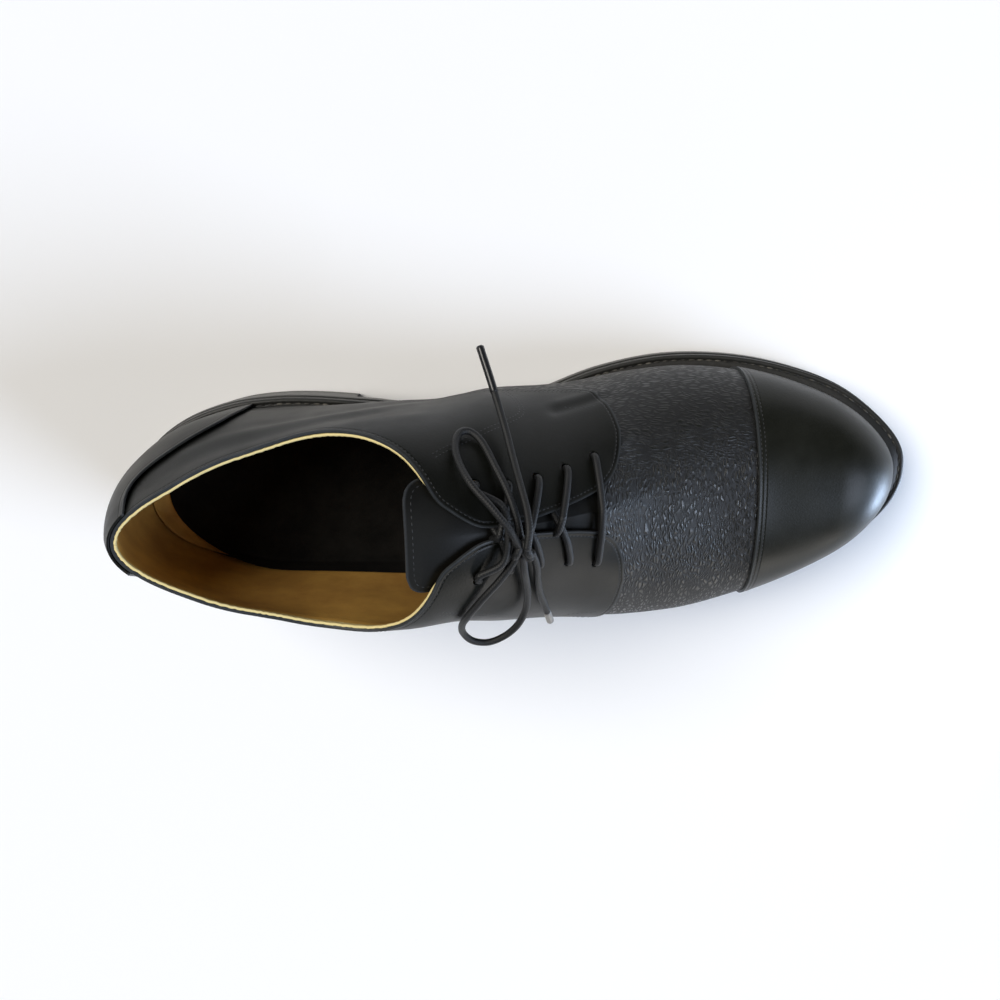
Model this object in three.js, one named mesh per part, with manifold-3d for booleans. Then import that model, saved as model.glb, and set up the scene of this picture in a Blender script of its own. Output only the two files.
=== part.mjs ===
// Cap-toe derby shoe, right foot, in millimetres.
// While it is built, X runs from the back of the sole to the toe, Y to the inner (medial) side, and Z up from
// the floor.
// Upper, toe cap, heel counter and tongue are all worked out from one last: a run of cross sections.
import * as THREE from "three";
import { mergeVertices } from "three/addons/utils/BufferGeometryUtils.js";
import Module from "manifold-3d";

const wasm = await Module();
wasm.setup();

// Driving sizes of the sole
const SHOE_LENGTH = 304; // sole edge at the heel to sole edge at the toe
const BALL_WIDTH = 102; // across the ball
const WAIST_WIDTH = 67; // across the arch
const HEEL_WIDTH = 70; // across the seat
const HEEL_LENGTH = 81; // heel block, back edge to breast
const HEEL_HEIGHT = 20; // heel block, floor to sole
const HEEL_TAPER = 1.2; // how far the block draws in towards the floor
const BREAST_HOLLOW = 6; // depth of the curve in the breast
const BREAST_SWEEP = 9; // how far its inner corner reaches into the waist
const TOE_SPRING = 15.5; // rise of the sole's underside at the toe
const OUTSOLE_THICKNESS = 5.4;
const WELT_THICKNESS = 3.8;
const WELT_MARGIN = 5.5; // welt seen outside the upper at the ball
const EDGE_STEP = 0.5; // welt and heel set in from the outsole's edge
const INSOLE_THICKNESS = 4.4;

// Driving sizes of the upper
const INSTEP_HEIGHT = 117; // ridge of the vamp's layer under the highest pair of eyelets
const TOE_HEIGHT = 57; // ridge of the vamp's layer over the toes
const TOE_WALL = 8; // upright part of the toe above the welt
const SIDE_SWELL = 10; // how far the sides can stand outside the foot
const WIDEST_RISE = 20; // height of the widest point above the welt, in front of the instep
const BACK_HEIGHT = 105; // collar above the floor at the back seam
const BACK_TUCK_TOP = 9; // the back leans in this far from its bulge up to the collar
const BACK_TUCK_FOOT = 4; // and this far down to the welt
const WALL = 1.5; // leather and lining of the vamp
const QUARTER_STEP = 1.1; // quarters laid over the vamp
const COUNTER_THICKNESS = 0.9; // heel counter laid over the quarters
const CAP_THICKNESS = 1.1; // toe cap laid over the vamp
const TONGUE_THICKNESS = 1.8;
const TONGUE_WIDTH = 40;
const TONGUE_ROUND = 6; // corners of its top end
const THROAT_GAP = 13; // between the facings at their front end
const EYELET_PAIRS = 5;
const EYELET_DIAMETER = 3.6;
const EYELET_INSET = 14; // from the facing's edge
const LACE_DIAMETER = 2.5;
const GAP = 0.3; // air between pieces that touch on the real shoe

// Stations along the shoe, as shares of its length
const STATION_BACK = 0.0075; // back of the last at its bulge
const STATION_TOE_TIP = 0.968; // front of the last
const STATION_TOE_TOP = 0.878; // where the toe starts to round down
const STATION_TREAD_BACK = 0.58; // floor contact under the ball, rear end
const STATION_TREAD_FRONT = 0.656; // floor contact under the ball, front end
const STATION_CAP = 0.774; // cap seam
const STATION_TONGUE_END = 0.352;
const STATION_TONGUE_ROOT = 0.65;
const STATION_EYELET_FRONT = 0.564;
const STATION_EYELET_BACK = 0.425;

// Half widths of the sole on each side of the line from heel to toe
const SOLE_ROWS = [
  { at: 0.0, of: HEEL_WIDTH, medial: 0.49, lateral: 0.49 },
  { at: 0.1, of: HEEL_WIDTH, medial: 0.49, lateral: 0.485 },
  { at: 0.2, of: HEEL_WIDTH, medial: 0.515, lateral: 0.497 },
  { at: 0.3, of: WAIST_WIDTH, medial: 0.5, lateral: 0.537 },
  { at: 0.4, of: WAIST_WIDTH, medial: 0.43, lateral: 0.6 },
  { at: 0.5, of: BALL_WIDTH, medial: 0.3, lateral: 0.475 },
  { at: 0.6, of: BALL_WIDTH, medial: 0.396, lateral: 0.555 },
  { at: 0.68, of: BALL_WIDTH, medial: 0.44, lateral: 0.566 },
  { at: 0.76, of: BALL_WIDTH, medial: 0.441, lateral: 0.53 },
  { at: 0.86, of: BALL_WIDTH, medial: 0.419, lateral: 0.482 },
  { at: 0.93, of: BALL_WIDTH, medial: 0.392, lateral: 0.45 },
  { at: 1.0, of: BALL_WIDTH, medial: 0.31, lateral: 0.39 },
];
const HEEL_ROUND = { length: 0.155, power: 1.95 }; // how the outline closes at the back
const TOE_ROUND = { length: 0.28, power: 2.3 }; // and at the toe

// Cross sections of the last. Medial and lateral are how far its widest point stands outside its own foot,
// as shares of SIDE_SWELL. Rise is that point's height above the welt, as a share of WIDEST_RISE, and margin
// the welt outside the foot, as a share of WELT_MARGIN.
// A low roof number makes a sharp ridge, a high wall number upright sides.
const LAST_ROWS = [
  { at: 0.0, margin: 0.75, medial: 0.15, lateral: 0.15, rise: 1.3, roof: 2.0, wall: 1.1 },
  { at: 0.1, margin: 0.75, medial: 0.15, lateral: 0.15, rise: 1.3, roof: 2.0, wall: 1.35 },
  { at: 0.2, margin: 0.75, medial: 0.1, lateral: 0.22, rise: 1.35, roof: 2.0, wall: 2.4 },
  { at: 0.28, margin: 0.7, medial: 0.45, lateral: 0.3, rise: 1.4, roof: 2.0, wall: 5.0 },
  { at: 0.34, margin: 0.7, medial: 0.8, lateral: 0.35, rise: 1.45, roof: 2.0, wall: 4.6 },
  { at: 0.4, margin: 0.75, medial: 1.2, lateral: 0.35, rise: 1.45, roof: 1.6, wall: 3.2 },
  { at: 0.45, margin: 0.8, medial: 1.45, lateral: 0.35, rise: 1.4, roof: 1.3, wall: 3.1 },
  { at: 0.5, margin: 0.85, medial: 1.25, lateral: 0.3, rise: 1.25, roof: 1.15, wall: 2.8 },
  { at: 0.57, margin: 0.95, medial: 0.65, lateral: 0.25, rise: 1.0, roof: 1.25, wall: 2.5 },
  { at: 0.62, margin: 1.0, medial: 0.45, lateral: 0.22, rise: 0.85, roof: 1.55, wall: 2.35 },
  { at: 0.68, margin: 1.0, medial: 0.3, lateral: 0.2, rise: 0.75, roof: 1.85, wall: 2.2 },
  { at: 0.78, margin: 1.0, medial: 0.2, lateral: 0.18, rise: 0.65, roof: 2.1, wall: 2.2 },
  { at: 0.9, margin: 1.1, medial: 0.15, lateral: 0.15, rise: 0.5, roof: 2.2, wall: 2.3 },
  { at: 1.0, margin: 1.2, medial: 0.1, lateral: 0.1, rise: 0.35, roof: 2.3, wall: 2.3 },
];
const RIDGE_OFFSET = 1.2; // the ridge and the throat lie this far to the inner side

// Height of the ridge above the floor. Behind the facings it runs on above the collar, which cuts it off.
const RIDGE_ROWS = [
  { at: 0.0, of: BACK_HEIGHT, top: 1.3 },
  { at: 0.2, of: BACK_HEIGHT, top: 1.29 },
  { at: 0.28, of: INSTEP_HEIGHT, top: 1.09 },
  { at: 0.33, of: INSTEP_HEIGHT, top: 1.045 },
  { at: 0.36, of: INSTEP_HEIGHT, top: 1.03 },
  { at: 0.4, of: INSTEP_HEIGHT, top: 1.01 },
  { at: 0.43, of: INSTEP_HEIGHT, top: 0.982 },
  { at: 0.465, of: INSTEP_HEIGHT, top: 0.936 },
  { at: 0.505, of: INSTEP_HEIGHT, top: 0.878 },
  { at: 0.545, of: INSTEP_HEIGHT, top: 0.812 },
  { at: 0.575, of: INSTEP_HEIGHT, top: 0.763 },
  { at: 0.6, of: INSTEP_HEIGHT, top: 0.715 },
  { at: 0.63, of: INSTEP_HEIGHT, top: 0.655 },
  { at: 0.675, of: TOE_HEIGHT, top: 1.235 },
  { at: 0.73, of: TOE_HEIGHT, top: 1.13 },
  { at: 0.785, of: TOE_HEIGHT, top: 1.062 },
  { at: 0.84, of: TOE_HEIGHT, top: 1.03 },
  { at: 1.0, of: TOE_HEIGHT, top: 0.96 },
];

// Collar line seen from the side, from the back seam to the top corner of the facings
const COLLAR_ROWS = [
  { at: -0.1, of: BACK_HEIGHT, top: 1.0 },
  { at: 0.04, of: BACK_HEIGHT, top: 1.0 },
  { at: 0.095, of: BACK_HEIGHT, top: 0.995 },
  { at: 0.125, of: BACK_HEIGHT, top: 0.979 },
  { at: 0.18, of: BACK_HEIGHT, top: 0.948 },
  { at: 0.22, of: BACK_HEIGHT, top: 0.93 },
  { at: 0.26, of: BACK_HEIGHT, top: 0.934 },
  { at: 0.29, of: BACK_HEIGHT, top: 0.96 },
  { at: 0.32, of: BACK_HEIGHT, top: 0.998 },
  { at: 0.35, of: BACK_HEIGHT, top: 1.042 },
  { at: 0.38, of: BACK_HEIGHT, top: 1.1 },
  { at: 0.42, of: BACK_HEIGHT, top: 1.2 },
];

// Half of the gap between the facings, from their rounded top corners to their front corners
const FACING_ROWS = [
  { at: 0.36, of: THROAT_GAP, half: 1.25 },
  { at: 0.375, of: THROAT_GAP, half: 1.05 },
  { at: 0.39, of: THROAT_GAP, half: 0.8 },
  { at: 0.412, of: THROAT_GAP, half: 0.42 },
  { at: 0.428, of: THROAT_GAP, half: 0.21 },
  { at: 0.445, of: THROAT_GAP, half: 0.14 },
  { at: 0.482, of: THROAT_GAP, half: 0.155 },
  { at: 0.525, of: THROAT_GAP, half: 0.3 },
  { at: 0.557, of: THROAT_GAP, half: 0.47 },
  { at: 0.5755, of: THROAT_GAP, half: 0.66 },
  { at: 0.591, of: THROAT_GAP, half: 1.02 },
  { at: 0.599, of: THROAT_GAP, half: 1.55 },
  { at: 0.602, of: THROAT_GAP, half: 2.2 },
];
const THROAT_END = 0.568; // front end of the opening in the vamp's layer
const THROAT_ROUND = 0.02; // its rounding

// Front edge of the quarters seen from the side, from the welt up to the ridge, as shares of length and of
// instep height
const QUARTER_EDGE = [
  { at: 0.25, top: 0.0 },
  { at: 0.262, top: 0.19 },
  { at: 0.277, top: 0.264 },
  { at: 0.298, top: 0.332 },
  { at: 0.331, top: 0.4 },
  { at: 0.37, top: 0.443 },
  { at: 0.426, top: 0.464 },
  { at: 0.475, top: 0.457 },
  { at: 0.538, top: 0.419 },
  { at: 0.566, top: 0.42 },
  { at: 0.582, top: 0.462 },
  { at: 0.594, top: 0.53 },
  { at: 0.601, top: 0.6 },
  { at: 0.604, top: 0.67 },
  { at: 0.602, top: 0.8 },
];

// Edge of the heel counter seen from the side, as shares of length and back height
const COUNTER_EDGE = [
  { at: 0.155, top: 0.0 },
  { at: 0.157, top: 0.3 },
  { at: 0.154, top: 0.45 },
  { at: 0.147, top: 0.56 },
  { at: 0.137, top: 0.64 },
  { at: 0.118, top: 0.7 },
  { at: 0.09, top: 0.75 },
  { at: 0.062, top: 0.79 },
  { at: 0.05, top: 0.85 },
  { at: 0.052, top: 1.1 },
];

// Smooth curve through one column of a table
function read(rows, column, at) {
  const value = (row) => row[column] * (row.of ?? 1);
  const last = rows.length - 1;
  let i = 0;
  while (i < last - 1 && at > rows[i + 1].at) i++;
  const slope = (k) => {
    const before = rows[Math.max(k - 1, 0)];
    const after = rows[Math.min(k + 1, last)];
    return (value(after) - value(before)) / (after.at - before.at);
  };
  const span = rows[i + 1].at - rows[i].at;
  const t = THREE.MathUtils.clamp((at - rows[i].at) / span, 0, 1);
  const start = value(rows[i]) * (1 + 2 * t) + slope(i) * span * t;
  const end = value(rows[i + 1]) * (3 - 2 * t) - slope(i + 1) * span * (1 - t);
  return start * (1 - t) ** 2 + end * t ** 2;
}

const smooth = (t) => THREE.MathUtils.smoothstep(t, 0, 1);

// Stations from start to end, closer together towards both ends
function stations(start, end, count) {
  const list = [];
  for (let i = 0; i <= count; i++) {
    const share = (1 - Math.cos((Math.PI * i) / count)) / 2;
    list.push(THREE.MathUtils.lerp(start, end, share));
  }
  return list;
}

// 1 along the body of an outline, falling to 0 at its two ends
function endRound(x, start, end) {
  const back = 1 - (x - start) / (HEEL_ROUND.length * SHOE_LENGTH);
  const front = 1 - (end - x) / (TOE_ROUND.length * SHOE_LENGTH);
  if (back > 0) return (1 - Math.min(back, 1) ** HEEL_ROUND.power) ** (1 / HEEL_ROUND.power);
  if (front > 0) return (1 - Math.min(front, 1) ** TOE_ROUND.power) ** (1 / TOE_ROUND.power);
  return 1;
}

// Underside of the sole: seat, arch, flat tread and toe spring
function soleUnderside(x) {
  const back = STATION_TREAD_BACK * SHOE_LENGTH;
  const front = STATION_TREAD_FRONT * SHOE_LENGTH;
  if (x < back) return HEEL_HEIGHT * smooth((back - x) / (back - HEEL_LENGTH));
  if (x < front) return 0;
  return TOE_SPRING * ((x - front) / (SHOE_LENGTH - front)) ** 2;
}
const soleTop = (x) => soleUnderside(x) + OUTSOLE_THICKNESS;
const weltTop = (x) => soleTop(x) + GAP + WELT_THICKNESS;
const upperFoot = (x) => weltTop(x) + GAP;

const halfWidth = (side, x) => read(SOLE_ROWS, side, x / SHOE_LENGTH);
const footHalf = (side, x) => halfWidth(side, x) - read(LAST_ROWS, "margin", x / SHOE_LENGTH) * WELT_MARGIN;

// The last
const LAST_BACK = STATION_BACK * SHOE_LENGTH;
const LAST_TIP = STATION_TOE_TIP * SHOE_LENGTH;
const TOE_TOP = STATION_TOE_TOP * SHOE_LENGTH;

function ridgeHeight(x) {
  const high = read(RIDGE_ROWS, "top", x / SHOE_LENGTH);
  if (x <= TOE_TOP) return high;
  const t = Math.min(1, (x - TOE_TOP) / (LAST_TIP - TOE_TOP));
  const low = upperFoot(LAST_TIP) + TOE_WALL;
  return low + (high - low) * Math.sqrt(1 - t * t);
}

// Lean of the back seam: it bulges at mid height and tucks in at the collar and at the sole
const BACK_BULGE_HEIGHT = 0.58 * BACK_HEIGHT;
const BACK_LEAN_REACH = 0.25 * SHOE_LENGTH;
function backLean(x, z) {
  const above = (z - BACK_BULGE_HEIGHT) / (BACK_HEIGHT - BACK_BULGE_HEIGHT);
  const below = (BACK_BULGE_HEIGHT - z) / (BACK_BULGE_HEIGHT - upperFoot(0));
  const tuck = above > 0 ? BACK_TUCK_TOP * above ** 1.5 : BACK_TUCK_FOOT * below ** 1.5;
  return tuck * (1 - smooth((x - LAST_BACK) / BACK_LEAN_REACH));
}

// A point of the last: v runs from -1 at the lateral foot over the ridge at 0 to 1 at the medial foot
const TUCK_SHARE = 0.25; // share of v spent below the widest point
const RISE_AT_ENDS = 0.5; // how much of its height the widest point keeps at heel and toe
function lastPoint(x, v) {
  const side = v < 0 ? "lateral" : "medial";
  const sign = v < 0 ? -1 : 1;
  const at = x / SHOE_LENGTH;
  const round = endRound(x, LAST_BACK, LAST_TIP);
  const foot = footHalf(side, x) * round;
  const wide = foot + SIDE_SWELL * read(LAST_ROWS, side, at) * round;
  const widest = upperFoot(x) + WIDEST_RISE * read(LAST_ROWS, "rise", at) * Math.max(round, RISE_AT_ENDS);
  const up = 1 - Math.abs(v);
  let y;
  let z;
  if (up < TUCK_SHARE) {
    const t = up / TUCK_SHARE;
    y = sign * (foot + (wide - foot) * Math.sin((t * Math.PI) / 2));
    z = THREE.MathUtils.lerp(upperFoot(x), widest, t);
  } else {
    const t = (((up - TUCK_SHARE) / (1 - TUCK_SHARE)) * Math.PI) / 2;
    const ridge = RIDGE_OFFSET * round;
    y = ridge + sign * (wide - sign * ridge) * Math.max(Math.cos(t), 0) ** (2 / read(LAST_ROWS, "roof", at));
    z = widest + (ridgeHeight(x) - widest) * Math.sin(t) ** (2 / read(LAST_ROWS, "wall", at));
  }
  return new THREE.Vector3(x + backLean(x, z), y, z);
}

// Solids and meshes
function solidOf(geometry) {
  const bare = geometry.clone();
  for (const name of Object.keys(bare.attributes)) if (name !== "position") bare.deleteAttribute(name);
  const merged = mergeVertices(bare, 1e-4);
  const corners = merged.index.array;
  const kept = [];
  for (let i = 0; i < corners.length; i += 3) {
    const [a, b, c] = [corners[i], corners[i + 1], corners[i + 2]];
    if (a !== b && b !== c && c !== a) kept.push(a, b, c);
  }
  const vertProperties = new Float32Array(merged.attributes.position.array);
  return new wasm.Manifold(new wasm.Mesh({ numProp: 3, vertProperties, triVerts: new Uint32Array(kept) }));
}

function geometryOf(solid) {
  const mesh = solid.getMesh();
  const geometry = new THREE.BufferGeometry();
  geometry.setAttribute("position", new THREE.BufferAttribute(new Float32Array(mesh.vertProperties), 3));
  geometry.setIndex(new THREE.BufferAttribute(new Uint32Array(mesh.triVerts), 1));
  geometry.computeVertexNormals();
  return geometry;
}

// The last's surface, moved outwards by offset and closed below the foot line
const SECTIONS = 26;
const SPOKES = 11; // steps from the foot to the ridge
const SKIRT = 8; // how far it runs down past the foot line
function makeForm(offset) {
  const columns = 2 * SPOKES + 3;
  const points = [];
  for (const x of stations(LAST_BACK, LAST_TIP, SECTIONS)) {
    const ring = [];
    for (let j = -SPOKES; j <= SPOKES; j++) ring.push(lastPoint(x, j / SPOKES));
    const drop = new THREE.Vector3(0, 0, -SKIRT);
    ring.unshift(ring[0].clone().add(drop));
    ring.push(ring[ring.length - 1].clone().add(drop));
    points.push(...ring);
  }
  const index = [];
  for (let i = 0; i < SECTIONS; i++) {
    for (let j = 0; j < columns; j++) {
      const k = (j + 1) % columns;
      const [a, b] = [i * columns + j, i * columns + k];
      const [c, d] = [a + columns, b + columns];
      index.push(a, d, b, a, c, d);
    }
  }
  const rough = new THREE.BufferGeometry().setFromPoints(points);
  rough.setIndex(index);
  const form = mergeVertices(rough, 1e-4);
  form.computeVertexNormals();
  const [place, normal] = [form.attributes.position, form.attributes.normal];
  for (let i = 0; i < place.count; i++) {
    place.setXYZ(
      i,
      place.getX(i) + normal.getX(i) * offset,
      place.getY(i) + normal.getY(i) * offset,
      place.getZ(i) + normal.getZ(i) * offset,
    );
  }
  return solidOf(form);
}
const forms = new Map();
function form(offset) {
  if (!forms.has(offset)) forms.set(offset, makeForm(offset));
  return forms.get(offset);
}
const shell = (inner, outer) => form(outer).subtract(form(inner));

// A prism from an outline seen from the side, right through the shoe
const REACH = SHOE_LENGTH;
const OVERRUN = 10; // how far the cutting prisms run past what they cut
function sidePrism(outline) {
  const settings = { depth: 2 * REACH, bevelEnabled: false };
  const geometry = new THREE.ExtrudeGeometry(new THREE.Shape(outline), settings);
  geometry.rotateX(Math.PI / 2);
  geometry.translate(0, REACH, 0);
  return solidOf(geometry);
}

// A prism from an outline seen from above, between two heights
function planPrism(outline, bottom, top) {
  const settings = { depth: top - bottom, bevelEnabled: false };
  const geometry = new THREE.ExtrudeGeometry(new THREE.Shape(outline), settings);
  geometry.translate(0, 0, bottom);
  return solidOf(geometry);
}

const point = (x, y) => new THREE.Vector2(x, y);

// The band between two heights that change along the shoe
const OUTLINE_STEPS = 36;
function band(bottom, top) {
  const xs = stations(-OVERRUN, SHOE_LENGTH + OVERRUN, OUTLINE_STEPS);
  const flats = [STATION_TREAD_BACK, STATION_TREAD_FRONT].map((share) => share * SHOE_LENGTH);
  xs.push(HEEL_LENGTH, ...flats);
  xs.sort((a, b) => a - b);
  const lower = xs.map((x) => point(x, bottom(x)));
  const upper = xs.map((x) => point(x, top(x)));
  return sidePrism([...lower, ...upper.reverse()]);
}

// The sole's outline, drawn in by inset
function soleOutline(inset) {
  const [start, end] = [inset, SHOE_LENGTH - inset];
  const xs = stations(start, end, OUTLINE_STEPS);
  const half = (side, x) => (halfWidth(side, x) - inset) * endRound(x, start, end);
  const medial = xs.map((x) => point(x, half("medial", x)));
  const lateral = xs.slice(1, -1).map((x) => point(x, -half("lateral", x)));
  return [...lateral, ...medial.reverse()];
}
const solePrism = (inset) => planPrism(soleOutline(inset), -OVERRUN, REACH);

// The foot line of the last, drawn in by inset
function footOutline(inset) {
  const [start, end] = [LAST_BACK + BACK_TUCK_FOOT + inset, LAST_TIP - inset];
  const xs = stations(start, end, OUTLINE_STEPS);
  const half = (side, x) => (footHalf(side, x) - inset) * endRound(x, start, end);
  const medial = xs.map((x) => point(x, half("medial", x)));
  const lateral = xs.slice(1, -1).map((x) => point(x, -half("lateral", x)));
  return [...lateral, ...medial.reverse()];
}

// Outsole, welt and insole
const outsole = solePrism(0).intersect(band(soleUnderside, soleTop));
const WELT_LAP = 1.5; // how far the welt runs in under the upper's inner face
const weltInside = planPrism(footOutline(WALL + WELT_LAP), -OVERRUN, REACH);
const weltBottom = (x) => soleTop(x) + GAP;
const welt = solePrism(EDGE_STEP).subtract(weltInside).intersect(band(weltBottom, weltTop));
const insoleTop = (x) => weltBottom(x) + INSOLE_THICKNESS;
const insoleInside = planPrism(footOutline(WALL + WELT_LAP + GAP), -OVERRUN, REACH);
const insole = insoleInside.intersect(band(weltBottom, insoleTop));

// Heel block with its hollowed breast. Its back draws in less than its sides.
const BREAST_STEPS = 16;
const BACK_TAPER_SHARE = 0.5;
function makeHeel() {
  const side = BREAST_SWEEP + HEEL_LENGTH;
  const breast = new THREE.QuadraticBezierCurve(
    point(HEEL_LENGTH, -HEEL_WIDTH),
    point(HEEL_LENGTH - 2 * BREAST_HOLLOW, 0),
    point(side + BREAST_SWEEP, HEEL_WIDTH),
  );
  const farBack = [point(-HEEL_LENGTH, HEEL_WIDTH), point(-HEEL_LENGTH, -HEEL_WIDTH)];
  const behind = [...breast.getPoints(BREAST_STEPS), ...farBack];
  const block = solePrism(EDGE_STEP)
    .intersect(planPrism(behind, 0, HEEL_HEIGHT + OVERRUN))
    .intersect(band(() => -OVERRUN, (x) => soleUnderside(x) - GAP));
  const geometry = geometryOf(block);
  const place = geometry.attributes.position;
  for (let i = 0; i < place.count; i++) {
    const draw = (HEEL_TAPER * (1 - place.getZ(i) / HEEL_HEIGHT)) / (HEEL_WIDTH / 2);
    place.setX(i, THREE.MathUtils.lerp(place.getX(i), HEEL_LENGTH, draw * BACK_TAPER_SHARE));
    place.setY(i, THREE.MathUtils.lerp(place.getY(i), 0, draw));
  }
  return solidOf(geometry);
}
const heel = makeHeel();

// What the upper is trimmed by
const aboveWelt = band(upperFoot, () => REACH);
const fromEdge = (rows, height) => rows.map((row) => point(row.at * SHOE_LENGTH, row.top * height));
const quarterSide = sidePrism([
  point(-REACH, 0),
  ...fromEdge(QUARTER_EDGE, INSTEP_HEIGHT),
  point(QUARTER_EDGE.at(-1).at * SHOE_LENGTH, REACH),
  point(-REACH, REACH),
]);
const counterSide = sidePrism([
  point(-REACH, 0),
  ...fromEdge(COUNTER_EDGE, BACK_HEIGHT),
  point(-REACH, COUNTER_EDGE.at(-1).top * BACK_HEIGHT),
]);
const capSide = sidePrism([
  point(STATION_CAP * SHOE_LENGTH, 0),
  point(2 * SHOE_LENGTH, 0),
  point(2 * SHOE_LENGTH, REACH),
  point(STATION_CAP * SHOE_LENGTH, REACH),
]);

const COLLAR_STEPS = 26;
function collarCut() {
  const [start, end] = [COLLAR_ROWS[0].at, COLLAR_ROWS.at(-1).at];
  const line = [];
  for (let i = 0; i <= COLLAR_STEPS; i++) {
    const at = THREE.MathUtils.lerp(start, end, i / COLLAR_STEPS);
    line.push(point(at * SHOE_LENGTH, read(COLLAR_ROWS, "top", at)));
  }
  return sidePrism([...line, point(end * SHOE_LENGTH, REACH), point(start * SHOE_LENGTH, REACH)]);
}

// The gap between the facings, cut down through the upper
const THROAT_FLOOR = 0.5 * INSTEP_HEIGHT;
function throatCut(rows) {
  const medial = rows.map((row) => point(row.at * SHOE_LENGTH, RIDGE_OFFSET + row.half * THROAT_GAP));
  const lateral = rows.map((row) => point(row.at * SHOE_LENGTH, RIDGE_OFFSET - row.half * THROAT_GAP));
  return planPrism([...lateral, ...medial.reverse()], THROAT_FLOOR, REACH);
}
const facingHalf = (x) => read(FACING_ROWS, "half", x / SHOE_LENGTH);
const vampRows = FACING_ROWS.filter((row) => row.at < THROAT_END - THROAT_ROUND);
const THROAT_STEPS = 4;
const THROAT_TIP = 0.02; // what is left of its width at the very end
for (let i = 0; i <= THROAT_STEPS; i++) {
  const turn = ((i / THROAT_STEPS) * Math.PI) / 2;
  const at = THROAT_END - THROAT_ROUND * (1 - Math.sin(turn));
  const half = (facingHalf(at * SHOE_LENGTH) / THROAT_GAP) * Math.max(Math.cos(turn), THROAT_TIP);
  vampRows.push({ at, half });
}

// A place on the quarter, a given way down from the ridge along its surface
const WALK_STEP = 0.01; // as a share of the way from ridge to foot
const SLOPE_REACH = 1; // how far fore and aft the surface's direction is taken
function quarterPoint(side, x, distance, above) {
  const step = WALK_STEP * (side === "medial" ? 1 : -1);
  const surface = (v) => lastPoint(x, v);
  let v = 0;
  let walked = 0;
  while (walked < distance) {
    walked += surface(v + step).distanceTo(surface(v));
    v += step;
  }
  const along = lastPoint(x + SLOPE_REACH, v).sub(lastPoint(x - SLOPE_REACH, v));
  const across = surface(v + step).sub(surface(v - step));
  const normal = along.cross(across).normalize();
  if (normal.z < 0) normal.negate();
  return { place: surface(v).addScaledVector(normal, above), normal };
}

// Eyelets
const eyelets = [];
for (let i = 0; i < EYELET_PAIRS; i++) {
  const at = THREE.MathUtils.lerp(STATION_EYELET_FRONT, STATION_EYELET_BACK, i / (EYELET_PAIRS - 1));
  const x = at * SHOE_LENGTH;
  const distance = facingHalf(x) + EYELET_INSET;
  eyelets.push({
    medial: quarterPoint("medial", x, distance, QUARTER_STEP),
    lateral: quarterPoint("lateral", x, distance, QUARTER_STEP),
  });
}
const EYELET_SIDES = 10;
function eyeletHole({ place, normal }) {
  const [radius, depth] = [EYELET_DIAMETER / 2, 2 * OVERRUN];
  const geometry = new THREE.CylinderGeometry(radius, radius, depth, EYELET_SIDES);
  geometry.applyQuaternion(new THREE.Quaternion().setFromUnitVectors(new THREE.Vector3(0, 1, 0), normal));
  geometry.translate(place.x, place.y, place.z);
  return solidOf(geometry);
}

function makeUpper() {
  const facingCut = throatCut(FACING_ROWS);
  const vampLayer = shell(-WALL, 0).subtract(throatCut(vampRows));
  const quarterLayer = shell(-WALL, QUARTER_STEP).intersect(quarterSide).subtract(facingCut);
  let upper = vampLayer.add(quarterLayer).intersect(aboveWelt).subtract(collarCut());
  for (const { medial, lateral } of eyelets) {
    upper = upper.subtract(eyeletHole(medial)).subtract(eyeletHole(lateral));
  }
  return upper;
}
const upper = makeUpper();

const toeCap = shell(GAP, GAP + CAP_THICKNESS).intersect(aboveWelt).intersect(capSide);
const counterBottom = QUARTER_STEP + GAP;
const heelCounter = shell(counterBottom, counterBottom + COUNTER_THICKNESS)
  .intersect(aboveWelt)
  .intersect(counterSide)
  .subtract(collarCut());

// Tongue, under the facings
function makeTongue() {
  const [end, root] = [STATION_TONGUE_END * SHOE_LENGTH, STATION_TONGUE_ROOT * SHOE_LENGTH];
  const half = TONGUE_WIDTH / 2;
  const outline = new THREE.Shape();
  outline.moveTo(root, -half);
  outline.lineTo(root, half);
  outline.lineTo(end + TONGUE_ROUND, half);
  outline.quadraticCurveTo(end, half, end, half - TONGUE_ROUND);
  outline.lineTo(end, TONGUE_ROUND - half);
  outline.quadraticCurveTo(end, -half, end + TONGUE_ROUND, -half);
  const plan = planPrism(outline.getPoints(4), THROAT_FLOOR, REACH);
  const outer = -WALL - GAP;
  return shell(outer - TONGUE_THICKNESS, outer).intersect(plan);
}
const tongue = makeTongue();

// Lace across the facings: one straight bar in front, then crossings
const laceRadius = LACE_DIAMETER / 2;
const onQuarter = QUARTER_STEP + GAP + laceRadius; // centre of a lace that lies on the quarters
const LACE_SIDES = 8;
const LACE_STEP = 1.6; // length of a step, in diameters
function tube(points) {
  const ring = new THREE.Shape();
  for (let i = 0; i < LACE_SIDES; i++) {
    const angle = (2 * Math.PI * i) / LACE_SIDES;
    const corner = [laceRadius * Math.cos(angle), laceRadius * Math.sin(angle)];
    if (i === 0) ring.moveTo(...corner);
    else ring.lineTo(...corner);
  }
  const extrudePath = new THREE.CatmullRomCurve3(points);
  const steps = Math.round(extrudePath.getLength() / (LACE_STEP * LACE_DIAMETER));
  return solidOf(new THREE.ExtrudeGeometry(ring, { extrudePath, steps, bevelEnabled: false }));
}

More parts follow.
